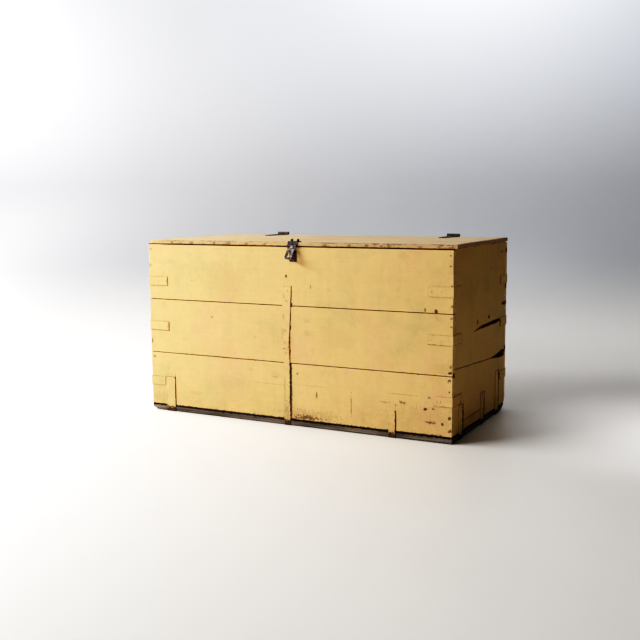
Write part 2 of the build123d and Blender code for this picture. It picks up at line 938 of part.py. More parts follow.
def hasp_bolt_places():
    """Two bolts near the back edge of the hasp's plate."""
    y = lid_front + hasp_plate_length - hasp_bolt_inset
    z = lid_top + hasp_thick
    return [((hasp_place + side * hasp_bolt_side, y, z), "up") for side in SIDES.values()]


def plate_nail_places():
    """A nail near each corner of the staple plate."""
    places = []
    y = -half_depth - staple_plate_thick
    for side in SIDES.values():
        for rise in SIDES.values():
            x = hasp_place + side * (staple_plate_width / 2 - plate_nail_side)
            z = staple_z + rise * (staple_plate_height / 2 - plate_nail_end)
            places.append(((x, y, z), "front"))
    return places


# ---- the whole crate ----------------------------------------------------------------------------

os.makedirs("parts", exist_ok=True)

make_front_wall()
make_back_wall()
make_ends()
make_bottom()
make_lid_boards()
make_battens()
make_corner_straps()
make_bottom_band("left", left_band_place, left_band_width, left_band_height)
make_bottom_band("centre", centre_band_place, band_width, centre_band_height)
make_bottom_band("right", right_band_place, band_width, right_band_height)
make_end_bands()
make_centre_strap()
make_hinges()
make_hasp_plate()
make_hasp_pin()
make_hasp_leaf()
make_staple_plate()
make_staple()
make_fasteners("wall_nails", wall_nail_places(), wall_nail)
strap_nail_places = corner_nail_places() + band_nail_places() + centre_nail_places()
make_fasteners("strap_nails", strap_nail_places, strap_nail)
make_fasteners("lid_nails", lid_nail_places(), lid_nail)
make_fasteners("hinge_case_screws", hinge_screw_places(), hinge_screw)
make_fasteners("hinge_lid_screws", lid_screw_places(), lid_screw)
make_fasteners("hasp_bolts", hasp_bolt_places(), hasp_bolt)
make_fasteners("staple_plate_nails", plate_nail_places(), plate_nail)
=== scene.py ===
from functools import reduce
from itertools import product
from math import cos, pi, radians, sin

import bmesh
import bpy
from bpy.props import FloatProperty, FloatVectorProperty, PointerProperty
from mathutils import Matrix, Vector, noise


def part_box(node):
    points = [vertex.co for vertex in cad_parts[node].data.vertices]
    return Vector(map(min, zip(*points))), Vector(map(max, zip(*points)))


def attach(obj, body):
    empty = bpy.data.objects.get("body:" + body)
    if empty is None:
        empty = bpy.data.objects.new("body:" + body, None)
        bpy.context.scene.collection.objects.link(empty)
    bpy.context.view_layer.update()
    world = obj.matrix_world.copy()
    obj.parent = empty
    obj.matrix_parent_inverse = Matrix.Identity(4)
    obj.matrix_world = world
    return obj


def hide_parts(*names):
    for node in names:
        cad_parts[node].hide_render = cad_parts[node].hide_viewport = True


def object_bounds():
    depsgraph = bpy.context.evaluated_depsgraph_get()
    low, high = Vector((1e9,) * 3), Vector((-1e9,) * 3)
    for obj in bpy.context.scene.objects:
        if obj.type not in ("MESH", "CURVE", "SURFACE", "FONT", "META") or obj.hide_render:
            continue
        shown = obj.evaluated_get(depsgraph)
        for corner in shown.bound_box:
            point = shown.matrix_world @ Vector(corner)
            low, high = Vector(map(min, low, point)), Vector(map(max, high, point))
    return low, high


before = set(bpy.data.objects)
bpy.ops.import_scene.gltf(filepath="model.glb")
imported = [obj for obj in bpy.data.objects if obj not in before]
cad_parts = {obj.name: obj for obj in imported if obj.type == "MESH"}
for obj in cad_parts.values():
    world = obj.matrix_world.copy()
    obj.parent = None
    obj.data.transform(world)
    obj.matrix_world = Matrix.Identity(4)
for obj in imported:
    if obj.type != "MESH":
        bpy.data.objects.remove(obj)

bl_info = {
    "name": "Painted shipping crate",
    "version": (1, 0, 0),
    "blender": (4, 5, 0),
    "location": "View3D > Sidebar > Crate",
    "description": "Builds the worn boards, iron and stage of a painted shipping crate",
    "category": "Object",
}

CAD_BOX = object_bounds()
MIDDLE = (CAD_BOX[0] + CAD_BOX[1]) / 2
MM = 0.001

# Which way the bare inner face of each wall looks.
INWARDS = {
    "front": Vector((0, 1, 0)),
    "back": Vector((0, -1, 0)),
    "left": Vector((1, 0, 0)),
    "right": Vector((-1, 0, 0)),
    "lid": Vector((0, 0, -1)),
}
UP = Vector((0, 0, 1))
# Scales that draw noise out into grain or brush strokes along one axis.
ACROSS = 26.0
ALONG_X = (1.0, ACROSS, ACROSS)
ALONG_Y = (ACROSS, 1.0, ACROSS)
ALONG_Z = (ACROSS, ACROSS, 1.0)

# Outer faces of the front boards and of the straps nailed over them, and the joint between the
# two highest front boards.
BOARD_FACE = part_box("front_board_bottom")[0][1]
STRAP_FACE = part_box("bottom_band_centre")[0][1]
TOP_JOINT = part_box("front_board_top")[0][2]

# Knocks, chips and nail stains on the front wall, in millimetres: place along and up, half width,
# half height, raggedness and strength.
FRONT_MARKS = {
    "top": (
        (552, 439, 8, 7, 0.9, 1.0), (513, 442, 3, 8, 0.9, 0.7), (-9, 537, 5, 6, 0.6, 0.9),
        (88, 503, 3, 8, 0.9, 0.5), (605, 523, 4, 5, 0.8, 0.7), (606, 457, 4, 5, 0.8, 0.7),
        (-412, 506, 5, 5, 1.0, 0.3), (-604, 560, 5, 9, 1.0, 0.5), (9, 438, 8, 6, 0.7, 1.0),
    ),
    "middle": (
        (602, 238, 7, 5, 0.9, 1.0), (604, 259, 4, 6, 0.9, 0.7), (604, 418, 4, 4, 0.8, 0.7),
        (604, 390, 4, 4, 0.8, 0.6), (-326, 375, 7, 5, 1.2, 0.4), (-456, 285, 4, 4, 1.0, 0.4),
        (-604, 268, 4, 10, 1.0, 0.7), (540, 338, 12, 3, 1.2, 0.7), (5, 354, 5, 9, 0.7, 1.0),
        (1, 268, 6, 16, 0.6, 1.0), (9, 430, 6, 4, 0.7, 1.0),
    ),
    "bottom": (
        (599, 212, 7, 7, 0.9, 0.9), (530, 150, 6, 5, 0.9, 0.6), (434, 125, 12, 6, 1.2, 0.6),
        (516, 111, 8, 6, 0.9, 0.9), (544, 113, 7, 4, 1.0, 0.6), (534, 67, 19, 5, 1.3, 0.7),
        (576, 66, 6, 6, 0.8, 0.9), (602, 87, 6, 6, 0.8, 0.9), (604, 45, 6, 6, 0.8, 0.8),
        (32, 191, 5, 5, 0.9, 0.6), (109, 120, 4, 11, 1.0, 0.7), (-18, 140, 3, 9, 0.9, 0.6),
        (-596, 209, 8, 6, 0.9, 0.8), (70, 36, 52, 8, 2.0, 0.8), (428, 153, 60, 1.4, 1.2, 0.4),
        (95, 151, 60, 1.2, 1.4, 0.3), (-80, 145, 80, 1.2, 1.4, 0.3), (374, 121, 16, 3, 1.4, 0.35),
        (244, 100, 2, 36, 1.6, 0.55), (-59, 172, 12, 2.5, 1.4, 0.35),
    ),
}
# Soft smudges on the front wall, in the same order.
FRONT_STAINS = {
    "top": (
        (437, 616, 20, 14, 0.8, 0.35), (-276, 515, 110, 60, 1.0, 0.22),
        (560, 500, 40, 26, 1.0, 0.25),
    ),
    "middle": (
        (75, 382, 16, 10, 1.0, 0.3), (76, 340, 18, 12, 1.0, 0.35), (190, 330, 70, 40, 1.0, 0.15),
        (580, 250, 50, 24, 1.0, 0.3),
    ),
    "bottom": (
        (-58, 180, 20, 14, 1.0, 0.3), (-408, 81, 40, 9, 1.0, 0.35), (-235, 110, 90, 50, 1.0, 0.2),
        (90, 46, 130, 22, 1.2, 0.6), (470, 70, 130, 50, 1.4, 0.35), (-560, 50, 60, 24, 1.2, 0.4),
    ),
}
# Marks on the right end, in millimetres: board, place back and up, half width, half height,
# raggedness and strength.
RIGHT_MARKS = (
    ("upper", -46, 377, 5, 9, 0.8, 0.9), ("upper", 89, 381, 5, 8, 0.8, 0.9),
    ("upper", 262, 412, 26, 7, 0.8, 1.0), ("upper", 60, 354, 110, 7, 0.6, 1.0),
    ("upper", 150, 355, 95, 7, 0.6, 1.0), ("upper", 111, 554, 6, 4, 1.0, 0.5),
    ("upper", 230, 607, 18, 4, 1.2, 0.6), ("upper", -136, 519, 5, 4, 1.0, 0.4),
    # The tall narrow marks on the lower board at -190, 44 and 219 are painted shadows beside the bands'
    # rear edges.
    ("lower", -75, 57, 100, 2.0, 1.0, 0.8), ("lower", -190, 66, 5, 60, 0.5, 0.9),
    ("lower", 44, 66, 6, 62, 0.5, 0.95), ("lower", 219, 100, 6, 84, 0.5, 0.95),
    ("upper", -288, 236, 8, 12, 0.6, 1.0), ("lower", -290, 222, 8, 8, 0.6, 1.0),
)
# How the paint is tinted on the right end, which is darker and browner as painted shade of that side, and
# on the lid, which is greyer as painted sheen of its top.
END_SHADE_TINT = (0.83, 0.75, 0.41)
LID_SHEEN_TINT = (0.93, 0.96, 1.0)
# What shows in the chips of the front wall, the right end and the lid.
FRONT_UNDER = (0.065, 0.034, 0.017)
END_UNDER = (0.05, 0.026, 0.013)
LID_UNDER = (0.17, 0.092, 0.048)
# A splintered corner on the front wall's right edge: its place and reach, raggedness and strength.
SPLINTER = ((0.61, -0.289, 0.229), (0.02, 0.010, 0.010), 0.9, 1.0)
# Bare spots at the right end of the back wall: how high and how large.
BACK_SPOTS = ((0.236, 0.016), (0.412, 0.010), (0.478, 0.012), (0.61, 0.010))
# How deep a mark reaches into a board.
MARK_DEPTH = 0.012
# How clearly a corner strap shows along its lower edge, upper edge, front tip and side tip, as dark lines
# that are partly worn, rusty edge and partly painted shadow of its raised edge.
CLEAR_STRAPS = {
    ("left", "upper"): (0.30, 0.40, 0.55, 0.4),
    ("left", "middle"): (0.75, 0.45, 0.65, 0.6),
    ("left", "lower"): (0.25, 0.40, 0.25, 0.3),
    ("right", "upper"): (0.20, 0.20, 0.15, 0.4),
    ("right", "middle"): (0.60, 0.45, 0.20, 0.5),
    ("right", "lower"): (0.50, 0.50, 0.40, 0.9),
}
# Grime on the centre strap and the bands, in millimetres: place along and up, half width, half
# height and strength.
STRAP_SPOTS = (
    (-19, 468, 5, 16, 0.5), (-8, 449, 5, 5, 0.8), (-20, 395, 4, 12, 0.6), (-13, 341, 5, 5, 1.0),
    (-24, 330, 4, 22, 0.6), (-16, 300, 10, 8, 0.4), (-22, 345, 8, 3, 0.6), (2, 300, 4, 18, 0.5),
)
BAND_SPOTS = {
    "left": (),
    "centre": (
        (-9, 40, 11, 60, 0.75), (-18, 90, 4, 80, 0.6), (-12, 262, 5, 6, 0.7),
        (-18, 162, 4, 16, 0.8),
    ),
    "right": (
        (390, 20, 12, 16, 0.5),
    ),
}
# Nails and knots along the lid's front edge, in millimetres along.
LID_EDGE_MARKS = (-499, -408, -310, -249, -172, -93, 146, 237, 304, 355, 494, 559)
# The painted shadow along the centre strap's right edge: how far along it starts at the strap's foot,
# how far it leans for each metre up, and how high above the foot its marks are.
STRAP_SHADOW_START = 0.0003
STRAP_LEAN = 0.0524
STRAP_RISES = (0.035, 0.08, 0.125, 0.17, 0.205)
# Half thickness of the painted shadow along each band's right edge.
BAND_SHADOWS = {"left": 0.0022, "centre": 0.0055, "right": 0.0020}
# The boards of a wall, of an end, and of the lid and the bottom, in order.
WALL_ROWS = ("bottom", "middle", "top")
END_ROWS = ("lower", "upper")
FLAT_ROWS = ("front", "middle", "back")


# ---- settings -----------------------------------------------------------------------------------


def colour_setting(name, description, default):
    """A colour that can be changed."""
    return FloatVectorProperty(
        name=name, description=description, default=default, subtype="COLOR", min=0, max=1,
    )


def light_setting(name, description, default):
    """The power of a light."""
    return FloatProperty(name=name, description=description, default=default, unit="POWER", min=0)


class CratePaintSettings(bpy.types.PropertyGroup):
    """The coat of paint on the boards and the iron."""

    paint: colour_setting("Paint", "Colour of the clean paint", (0.69, 0.46, 0.203))
    rosy: colour_setting(
        "Rosy patches", "Colour where the paint has reddened", (0.67, 0.395, 0.200),
    )
    mossy: colour_setting(
        "Mossy patches", "Colour where the paint has gone green", (0.47, 0.385, 0.175),
    )
    under: colour_setting("Under the paint", "Colour of the wood in chips", (0.13, 0.062, 0.026))
    wear: FloatProperty(
        name="Wear", description="How worn the paint is, as a share of each piece's own wear",
        default=1.0, min=0, max=2, subtype="FACTOR",
    )


class CrateWoodSettings(bpy.types.PropertyGroup):
    """The bare boards and how their edges have worn."""

    light: colour_setting("Light grain", "Colour of the early wood", (0.50, 0.36, 0.215))
    dark: colour_setting("Dark grain", "Colour of the late wood", (0.29, 0.185, 0.10))
    base: colour_setting(
        "Bottom boards", "Colour of the dirty boards under the case", (0.24, 0.19, 0.15),
    )
    grid: FloatProperty(
        name="Board grid", description="Spacing of the cuts that let a board be shaped",
        default=0.011, min=0.004, max=0.05, unit="LENGTH",
    )
    chip: FloatProperty(
        name="Edge chips", description="Depth of the chips along a board's edges",
        default=0.0010, min=0, max=0.01, unit="LENGTH",
    )


class CrateIronSettings(bpy.types.PropertyGroup):
    """Bare and painted iron."""

    iron: colour_setting("Iron", "Colour of the dark iron", (0.036, 0.030, 0.033))
    rust: colour_setting("Rust", "Colour of the rust", (0.085, 0.040, 0.026))
    # Where the iron is rubbed bright: partly rubbing and partly painted highlight.
    sheen: colour_setting(
        "Rubbed iron", "Colour where the iron is rubbed bright", (0.46, 0.40, 0.42),
    )
    grid: FloatProperty(
        name="Iron grid", description="Spacing of the cuts that let a strap be shaped",
        default=0.005, min=0.002, max=0.02, unit="LENGTH",
    )


class CrateStageSettings(bpy.types.PropertyGroup):
    """Floor, wall, light and camera."""

    distance: FloatProperty(
        name="Camera distance", description="From the crate's middle to the camera, over the floor",
        default=3.486, min=1, unit="LENGTH",
    )
    bearing: FloatProperty(
        name="Camera bearing", description="How far round to the right the camera stands",
        default=radians(27.08), subtype="ANGLE", unit="ROTATION",
    )
    height: FloatProperty(
        name="Camera height", description="Above the floor", default=0.8007, unit="LENGTH",
    )
    heading: FloatProperty(
        name="Camera heading", description="How far left of straight back it looks",
        default=radians(27.56), subtype="ANGLE", unit="ROTATION",
    )
    pitch: FloatProperty(
        name="Camera pitch", description="How far down it looks",
        default=radians(7.437), subtype="ANGLE", unit="ROTATION",
    )
    roll: FloatProperty(
        name="Camera roll", description="How far it is tipped to the right",
        default=radians(0.40), subtype="ANGLE", unit="ROTATION",
    )
    lens: FloatProperty(
        name="Lens", description="Focal length on a 36 mm sensor",
        default=51.59, min=10, unit="CAMERA",
    )
    wall: FloatProperty(
        name="Wall distance", description="From the camera to the wall", default=5.25, unit="LENGTH",
    )
    key: light_setting("Window light", "Power of the large light at the left", 174.0)
    fill: light_setting("Ceiling light", "Power of the light over the right end", 1.3)
    wash: light_setting("Wall light", "Power of the light on the wall at the right", 48.0)
    room: FloatProperty(
        name="Room light", description="Strength of the light from all round", default=0.05, min=0,
    )
    power: FloatProperty(
        name="Contrast", description="Steepness of the tone curve in the shadows", default=1.8, min=1,
    )
    shoulder: FloatProperty(
        name="Shoulder", description="How softly the tone curve ends in the highlights",
        default=0.25, min=0.05,
    )


# ---- shader helpers -----------------------------------------------------------------------------

# What every finish gives, and of which kind.
LOOK = {"Color": "Color", "Roughness": "Float", "Height": "Float"}


def add_node(tree, kind, inputs=None, **settings):
    """Add a node, set its settings, and set or link its inputs."""
    node = tree.nodes.new(kind)
    for key, value in settings.items():
        setattr(node, key, value)
    for key, value in (inputs or {}).items():
        if isinstance(value, bpy.types.NodeSocket):
            tree.links.new(value, node.inputs[key])
        else:
            node.inputs[key].default_value = value
    return node


def calc(tree, operation, a, b=0.0, clamp=False):
    """A Math node's result."""
    return add_node(tree, "ShaderNodeMath", {0: a, 1: b}, operation=operation, use_clamp=clamp).outputs[0]


def times(tree, a, b):
    """Two values multiplied."""
    return calc(tree, "MULTIPLY", a, b)


def total(tree, *values):
    """The sum of several values."""
    return reduce(lambda a, b: calc(tree, "ADD", a, b), values)


def most(tree, *values):
    """The largest of several values."""
    return reduce(lambda a, b: calc(tree, "MAXIMUM", a, b), values)


def weighed(tree, *pairs):
    """The sum of several values, each times its share."""
    return total(tree, *(times(tree, value, share) for value, share in pairs))


def over(tree, value, limit, steep):
    """How far a value lies over a limit, from 0 to 1."""
    return calc(tree, "MULTIPLY", calc(tree, "SUBTRACT", value, limit), steep, clamp=True)


def vector_calc(tree, operation, a, b=(0, 0, 0)):
    """A Vector Math node's result."""
    return add_node(tree, "ShaderNodeVectorMath", {0: a, 1: b}, operation=operation).outputs[0]


def length_of(tree, vector):
    """How long a vector is."""
    return add_node(tree, "ShaderNodeVectorMath", {0: vector}, operation="LENGTH").outputs["Value"]


def split_axes(tree, place):
    """A place's three numbers."""
    return add_node(tree, "ShaderNodeSeparateXYZ", {0: place}).outputs[:3]


def shifted(tree, place, shift):
    """A place moved by the same amount along every axis."""
    step = add_node(tree, "ShaderNodeCombineXYZ", {0: shift, 1: shift, 2: shift}).outputs[0]
    return vector_calc(tree, "ADD", place, step)


def cloud(tree, vector, scale, detail=3.0, roughness=0.55, distortion=0.0):
    """A noise value from 0 to 1, mostly near 0.5."""
    inputs = {
        "Vector": vector, "Scale": scale, "Detail": detail, "Roughness": roughness,
        "Distortion": distortion,
    }
    return add_node(tree, "ShaderNodeTexNoise", inputs).outputs["Fac"]


def ramp(tree, value, low, high, to_low=0.0, to_high=1.0):
    """A value carried smoothly from one range to another and held at its ends."""
    inputs = {"Value": value, "From Min": low, "From Max": high, "To Min": to_low, "To Max": to_high}
    return add_node(tree, "ShaderNodeMapRange", inputs, interpolation_type="SMOOTHSTEP").outputs[0]


def blend(tree, share, a, b, mode="MIX"):
    """Two colours mixed."""
    node = add_node(tree, "ShaderNodeMix", data_type="RGBA", blend_type=mode)
    for key, value in ((0, share), (6, a), (7, b)):
        if isinstance(value, bpy.types.NodeSocket):
            tree.links.new(value, node.inputs[key])
        else:
            node.inputs[key].default_value = (*value, 1) if key > 0 and len(value) == 3 else value
    return node.outputs[2]


def shaded(tree, colour, tone):
    """A colour made lighter or darker by a tone."""
    grey = add_node(tree, "ShaderNodeCombineColor", {0: tone, 1: tone, 2: tone}).outputs[0]
    return blend(tree, 1.0, colour, grey, "MULTIPLY")


def new_group(name, inputs, outputs=LOOK):
    """An empty node group and its input sockets. A first value's type tells the kind of its socket."""
    tree = bpy.data.node_groups.new(name, "ShaderNodeTree")
    for label, value in inputs.items():
        kind = "Float" if isinstance(value, float) else {3: "Vector", 4: "Color"}[len(value)]
        socket = tree.interface.new_socket(label, in_out="INPUT", socket_type=f"NodeSocket{kind}")
        socket.default_value = value
    for label, kind in outputs.items():
        tree.interface.new_socket(label, in_out="OUTPUT", socket_type=f"NodeSocket{kind}")
    return tree, tree.nodes.new("NodeGroupInput").outputs[:len(inputs)]


def finish_group(tree, **outputs):
    """Link a group's results to its output node."""
    add_node(tree, "NodeGroupOutput", outputs)
    return tree


def join_marks(tree, place, marks):
    """The strongest of several marks, each given as its centre, reach, raggedness and strength."""
    found = []
    for centre, reach, ragged, strength in marks:
        inputs = {"Place": place, "Centre": centre, "Reach": reach, "Ragged": ragged, "Strength": strength}
        found.append(add_node(tree, "ShaderNodeGroup", inputs, node_tree=group("mark")).outputs[0])
    return most(tree, *found)


def blank_material(name):
    """A material with no nodes but the one that gives Object coordinates."""
    material = bpy.data.materials.new(name)
    material.use_nodes = True
    tree = material.node_tree
    tree.nodes.clear()
    return material, tree, add_node(tree, "ShaderNodeTexCoord").outputs["Object"]


def new_material(name, finish, values, bump, specular=0.5, metallic=0.0, marks=(), stains=()):
    """A material whose colour, roughness and relief come from a group at Object coordinates."""
    material, tree, place = blank_material(name)
    look = add_node(tree, "ShaderNodeGroup", {"Place": place, **values}, node_tree=finish)
    for label, places in (("Marks", marks), ("Stains", stains)):
        if places:
            tree.links.new(join_marks(tree, place, places), look.inputs[label])
    relief = add_node(tree, "ShaderNodeBump", {"Height": look.outputs["Height"], "Distance": bump})
    shader = add_node(tree, "ShaderNodeBsdfPrincipled", {
        "Base Color": look.outputs["Color"],
        "Roughness": look.outputs["Roughness"],
        "Normal": relief.outputs[0],
        "Specular IOR Level": specular,
        "Metallic": metallic,
    })
    add_node(tree, "ShaderNodeOutputMaterial", {0: shader.outputs[0]})
    return material


def edge_distance(tree, place, low, high):
    """Distance to the nearest edge of a box, for a point on one of its faces."""
    from_low = vector_calc(tree, "SUBTRACT", place, low)
    from_high = vector_calc(tree, "SUBTRACT", high, place)
    x, y, z = split_axes(tree, vector_calc(tree, "MINIMUM", from_low, from_high))
    least = calc(tree, "MINIMUM", calc(tree, "MINIMUM", x, y), z)
    middle = calc(tree, "SUBTRACT", total(tree, x, y, z), most(tree, x, y, z))
    return calc(tree, "SUBTRACT", middle, least)


# ---- finishes -----------------------------------------------------------------------------------


def sound_paint(tree, settings, place, tones):
    """The colour of sound paint: rosy and mossy patches, and a tone that wanders at several scales."""
    rosy = ramp(tree, cloud(tree, place, 5.2, 5, 0.65), 0.46, 0.70, 0, 0.8)
    elsewhere = vector_calc(tree, "ADD", place, (3.1, 1.7, 5.3))
    mossy = ramp(tree, cloud(tree, elsewhere, 5.5, 5, 0.65, 0.4), 0.50, 0.72, 0, 0.55)
    colour = blend(tree, rosy, settings.paint, settings.rosy)
    colour = blend(tree, mossy, colour, settings.mossy)
    steps = [ramp(tree, value, low, 1 - low, darker, lighter) for value, low, darker, lighter in tones]
    return shaded(tree, colour, total(tree, *steps, 1.0))


def paint_dirt(tree, place, moved, low_down, mottle, stains):
    """How dirty the paint is: low on the case, in faint smudges, and in stains round nails and knocks."""
    grime_and_shade = ramp(tree, cloud(tree, place, 15.0, 4, 0.65), 0.42, 0.70, 0.05, 0.6)
    grime_and_shade = times(tree, low_down, grime_and_shade)
    smudge = ramp(tree, cloud(tree, moved, 26.0, 4, 0.6, 0.5), 0.62, 0.76, 0, 0.32)
    ragged = calc(tree, "MULTIPLY", stains, ramp(tree, mottle, 0.32, 0.58, 0.25, 1.0), clamp=True)
    return most(tree, grime_and_shade, smudge, ragged)


def paint_loss(tree, moved, edge, low_down, wear, edge_wear, marks):
    """Where the paint is gone: along the edges, in chips, in scratches and at the marks, some of which are
    painted shadows.
    """
    ragged = cloud(tree, moved, 60.0, 5, 0.7)
    patchy = cloud(tree, moved, 9.0, 3)
    patch_reach = ramp(tree, patchy, 0.40, 0.72, 0.0, 0.020)
    flaked = ramp(tree, ragged, 0.45, 0.78)
    nibbled = ramp(tree, ragged, 0.35, 0.7)
    reach = weighed(tree, (flaked, patch_reach), (nibbled, 0.0035))
    bare_edge = over(tree, times(tree, reach, edge_wear), edge, 1200.0)
    area = weighed(tree, (wear, ramp(tree, patchy, 0.35, 0.7, 0.2, 1.0)), (low_down, 0.25))
    flake = cloud(tree, moved, 85.0, 4, 0.62, 0.5)
    bare_chip = over(tree, flake, total(tree, 0.785, times(tree, area, -0.075)), 40.0)
    scratch = cloud(tree, vector_calc(tree, "MULTIPLY", moved, (150, 150, 14)), 1.0, 3, 0.6, 0.4)
    bare_scratch = over(tree, scratch, total(tree, 0.79, times(tree, area, -0.07)), 14.0)
    return most(tree, bare_edge, bare_chip, times(tree, bare_scratch, 0.6), marks)


def paint_cracks(tree, moved, patches):
    """Fine crazing, in patches."""
    upright = vector_calc(tree, "MULTIPLY", moved, (0.6, 0.6, 1.0))
    inputs = {"Vector": upright, "Scale": 190.0, "Randomness": 1.0}
    craze = add_node(tree, "ShaderNodeTexVoronoi", inputs, feature="DISTANCE_TO_EDGE").outputs["Distance"]
    return times(tree, ramp(tree, craze, 0.0, 0.09, 1, 0), ramp(tree, patches, 0.48, 0.66))


def paint_group(settings):
    """Old oil paint: brushed, mottled, crazed, chipped along the edges and scuffed low down."""
    tree, sockets = new_group("old_paint", {
        "Place": (0, 0, 0), "Low": (0, 0, 0), "High": (1, 1, 1), "Grain": ALONG_X, "Brush": ALONG_Z,
        "Shift": 0.0, "Wear": 0.5, "Edge Wear": 0.3, "Under": (*settings.under, 1),
        "Tint": (1, 1, 1, 1), "Marks": 0.0, "Stains": 0.0,
    })
    place, low, high, grain_way, brush_way, shift, wear, edge_wear, under, tint, marks, stains = sockets
    moved = shifted(tree, place, shift)
    patches = cloud(tree, place, 11.0, 4, 0.6)
    brush = cloud(tree, vector_calc(tree, "MULTIPLY", place, brush_way), 1.7, 5, 0.6, 0.8)
    grain = cloud(tree, vector_calc(tree, "MULTIPLY", moved, grain_way), 5.0, 4, 0.6, 0.6)
    mottle = cloud(tree, place, 48.0, 4, 0.65)
    low_down = ramp(tree, split_axes(tree, place)[2], 0.0, 0.15, 1, 0)

    # each tone: its noise, where that starts to lighten, and how much it darkens and lightens
    colour = sound_paint(tree, settings, place, (
        (cloud(tree, place, 2.4, 3), 0.3, -0.035, 0.035),
        (brush, 0.3, -0.022, 0.018),
        (patches, 0.3, -0.04, 0.03),
        (mottle, 0.3, -0.032, 0.024),
        (grain, 0.35, -0.016, 0.012),
        (cloud(tree, place, 420.0, 2), 0.3, -0.012, 0.012),
    ))
    # The tint darkens and browns the right end as painted shade, and greys the lid as painted sheen.
    colour = blend(tree, 1.0, colour, tint, "MULTIPLY")
    dirt = paint_dirt(tree, place, moved, low_down, mottle, stains)
    colour = blend(tree, times(tree, dirt, 0.62), colour, (0.20, 0.125, 0.06))

    edge = edge_distance(tree, place, low, high)
    bare = paint_loss(tree, moved, edge, low_down, wear, edge_wear, marks)
    early = add_node(tree, "ShaderNodeVectorMath", {0: under, "Scale": 2.4}, operation="SCALE").outputs[0]
    wood = blend(tree, ramp(tree, grain, 0.35, 0.65, 0.0, 0.5), under, early)
    colour = blend(tree, times(tree, bare, 0.985), colour, wood)
    crack = paint_cracks(tree, moved, patches)
    colour = blend(tree, times(tree, crack, 0.14), colour, under)

    roughness = weighed(tree, (ramp(tree, mottle, 0.3, 0.7, 0.42, 0.58), 1.0), (bare, 0.28))
    height = weighed(tree, (grain, 0.22), (brush, 0.2), (mottle, 0.22), (crack, -0.16), (bare, -0.7))
    return finish_group(tree, Color=colour, Roughness=roughness, Height=height)


def mark_group():
    """One ragged mark: how far inside a small ellipsoid a point lies, broken up by noise."""
    tree, sockets = new_group("ragged_mark", {
        "Place": (0, 0, 0), "Centre": (0, 0, 0), "Reach": (0.01, 0.01, 0.01),
        "Ragged": 0.8, "Strength": 1.0,
    }, {"Mask": "Float"})
    place, centre, reach, ragged, strength = sockets
    far = length_of(tree, vector_calc(tree, "DIVIDE", vector_calc(tree, "SUBTRACT", place, centre), reach))
    broken = times(tree, calc(tree, "SUBTRACT", cloud(tree, place, 150.0, 3, 0.65), 0.5), ragged)
    inside = over(tree, total(tree, 1.0, times(tree, broken, 2.5)), far, 4.0)
    return finish_group(tree, Mask=times(tree, inside, strength))


def wood_group(settings):
    """Bare softwood: long grain, darker bands, stains, a dry surface and near-black marks of painted
    shade.
    """
    tree, sockets = new_group("bare_wood", {
        "Place": (0, 0, 0), "Grain": ALONG_X, "Shift": 0.0,
        "Light": (*settings.light, 1), "Dark": (*settings.dark, 1), "Marks": 0.0,
    })
    place, way, shift, light, dark, marks = sockets
    moved = shifted(tree, place, shift)
    along = vector_calc(tree, "MULTIPLY", moved, way)
    bands = cloud(tree, along, 1.6, 6, 0.6, 1.2)
    fibres = cloud(tree, along, 14.0, 4, 0.7)
    stains = cloud(tree, moved, 7.0, 4, 0.6)
    colour = blend(tree, ramp(tree, bands, 0.38, 0.62), light, dark)
    colour = blend(tree, ramp(tree, fibres, 0.4, 0.7, 0, 0.45), colour, dark)
    colour = shaded(tree, colour, ramp(tree, stains, 0.35, 0.7, 1.05, 0.62))
    # Marks turn the wood near black; they carry painted shade.
    colour = blend(tree, marks, colour, (0.010, 0.007, 0.005))
    roughness = ramp(tree, fibres, 0.3, 0.7, 0.72, 0.9)
    height = weighed(tree, (fibres, 0.6), (bands, 0.4))
    return finish_group(tree, Color=colour, Roughness=roughness, Height=height)


def iron_group(settings):
    """Old iron: dark scale, rust in the pits and rubbed high spots, lightened also as painted highlights.
    """
    tree, (place, rubbed_and_highlit, rusty) = new_group("old_iron", {"Place": (0, 0, 0), "Rubbed": 0.5, "Rusty": 0.5})
    pits = cloud(tree, place, 420.0, 4, 0.7)
    patches = cloud(tree, place, 95.0, 4, 0.6)
    rust = ramp(tree, weighed(tree, (patches, 1.0), (rusty, 0.2)), 0.50, 0.70)
    # Rubbed spots, lighter also as painted highlights.
    bright = times(tree, ramp(tree, cloud(tree, place, 120.0, 3, 0.6, 0.5), 0.46, 0.66), rubbed_and_highlit)
    colour = blend(tree, rust, settings.iron, settings.rust)
    colour = blend(tree, bright, colour, settings.sheen)
    colour = blend(tree, ramp(tree, pits, 0.52, 0.72, 0, 0.6), colour, (0.03, 0.014, 0.009))
    roughness = weighed(tree, (ramp(tree, rust, 0, 1, 0.50, 0.82), 1.0), (bright, -0.12))
    height = weighed(tree, (pits, 0.5), (patches, 0.6))
    return finish_group(tree, Color=colour, Roughness=roughness, Height=height)


def nail_group(paint, iron):
    """Nail heads under old paint, some of them rusted through it."""
    tree, (place, rusty) = new_group("nail_heads", {"Place": (0, 0, 0), "Rusty": 0.5})
    each = cloud(tree, place, 37.0, 1, 0.5)
    speck = cloud(tree, place, 300.0, 3, 0.65)
    through = ramp(tree, weighed(tree, (each, 0.75), (speck, 0.25), (rusty, 0.12)), 0.56, 0.62)
    colour = blend(tree, through, paint.paint, iron.rust)
    colour = shaded(tree, colour, ramp(tree, speck, 0.3, 0.7, 0.86, 1.0))
    return finish_group(tree, Color=colour, Roughness=ramp(tree, through, 0, 1, 0.5, 0.8), Height=speck)


GROUPS = {}


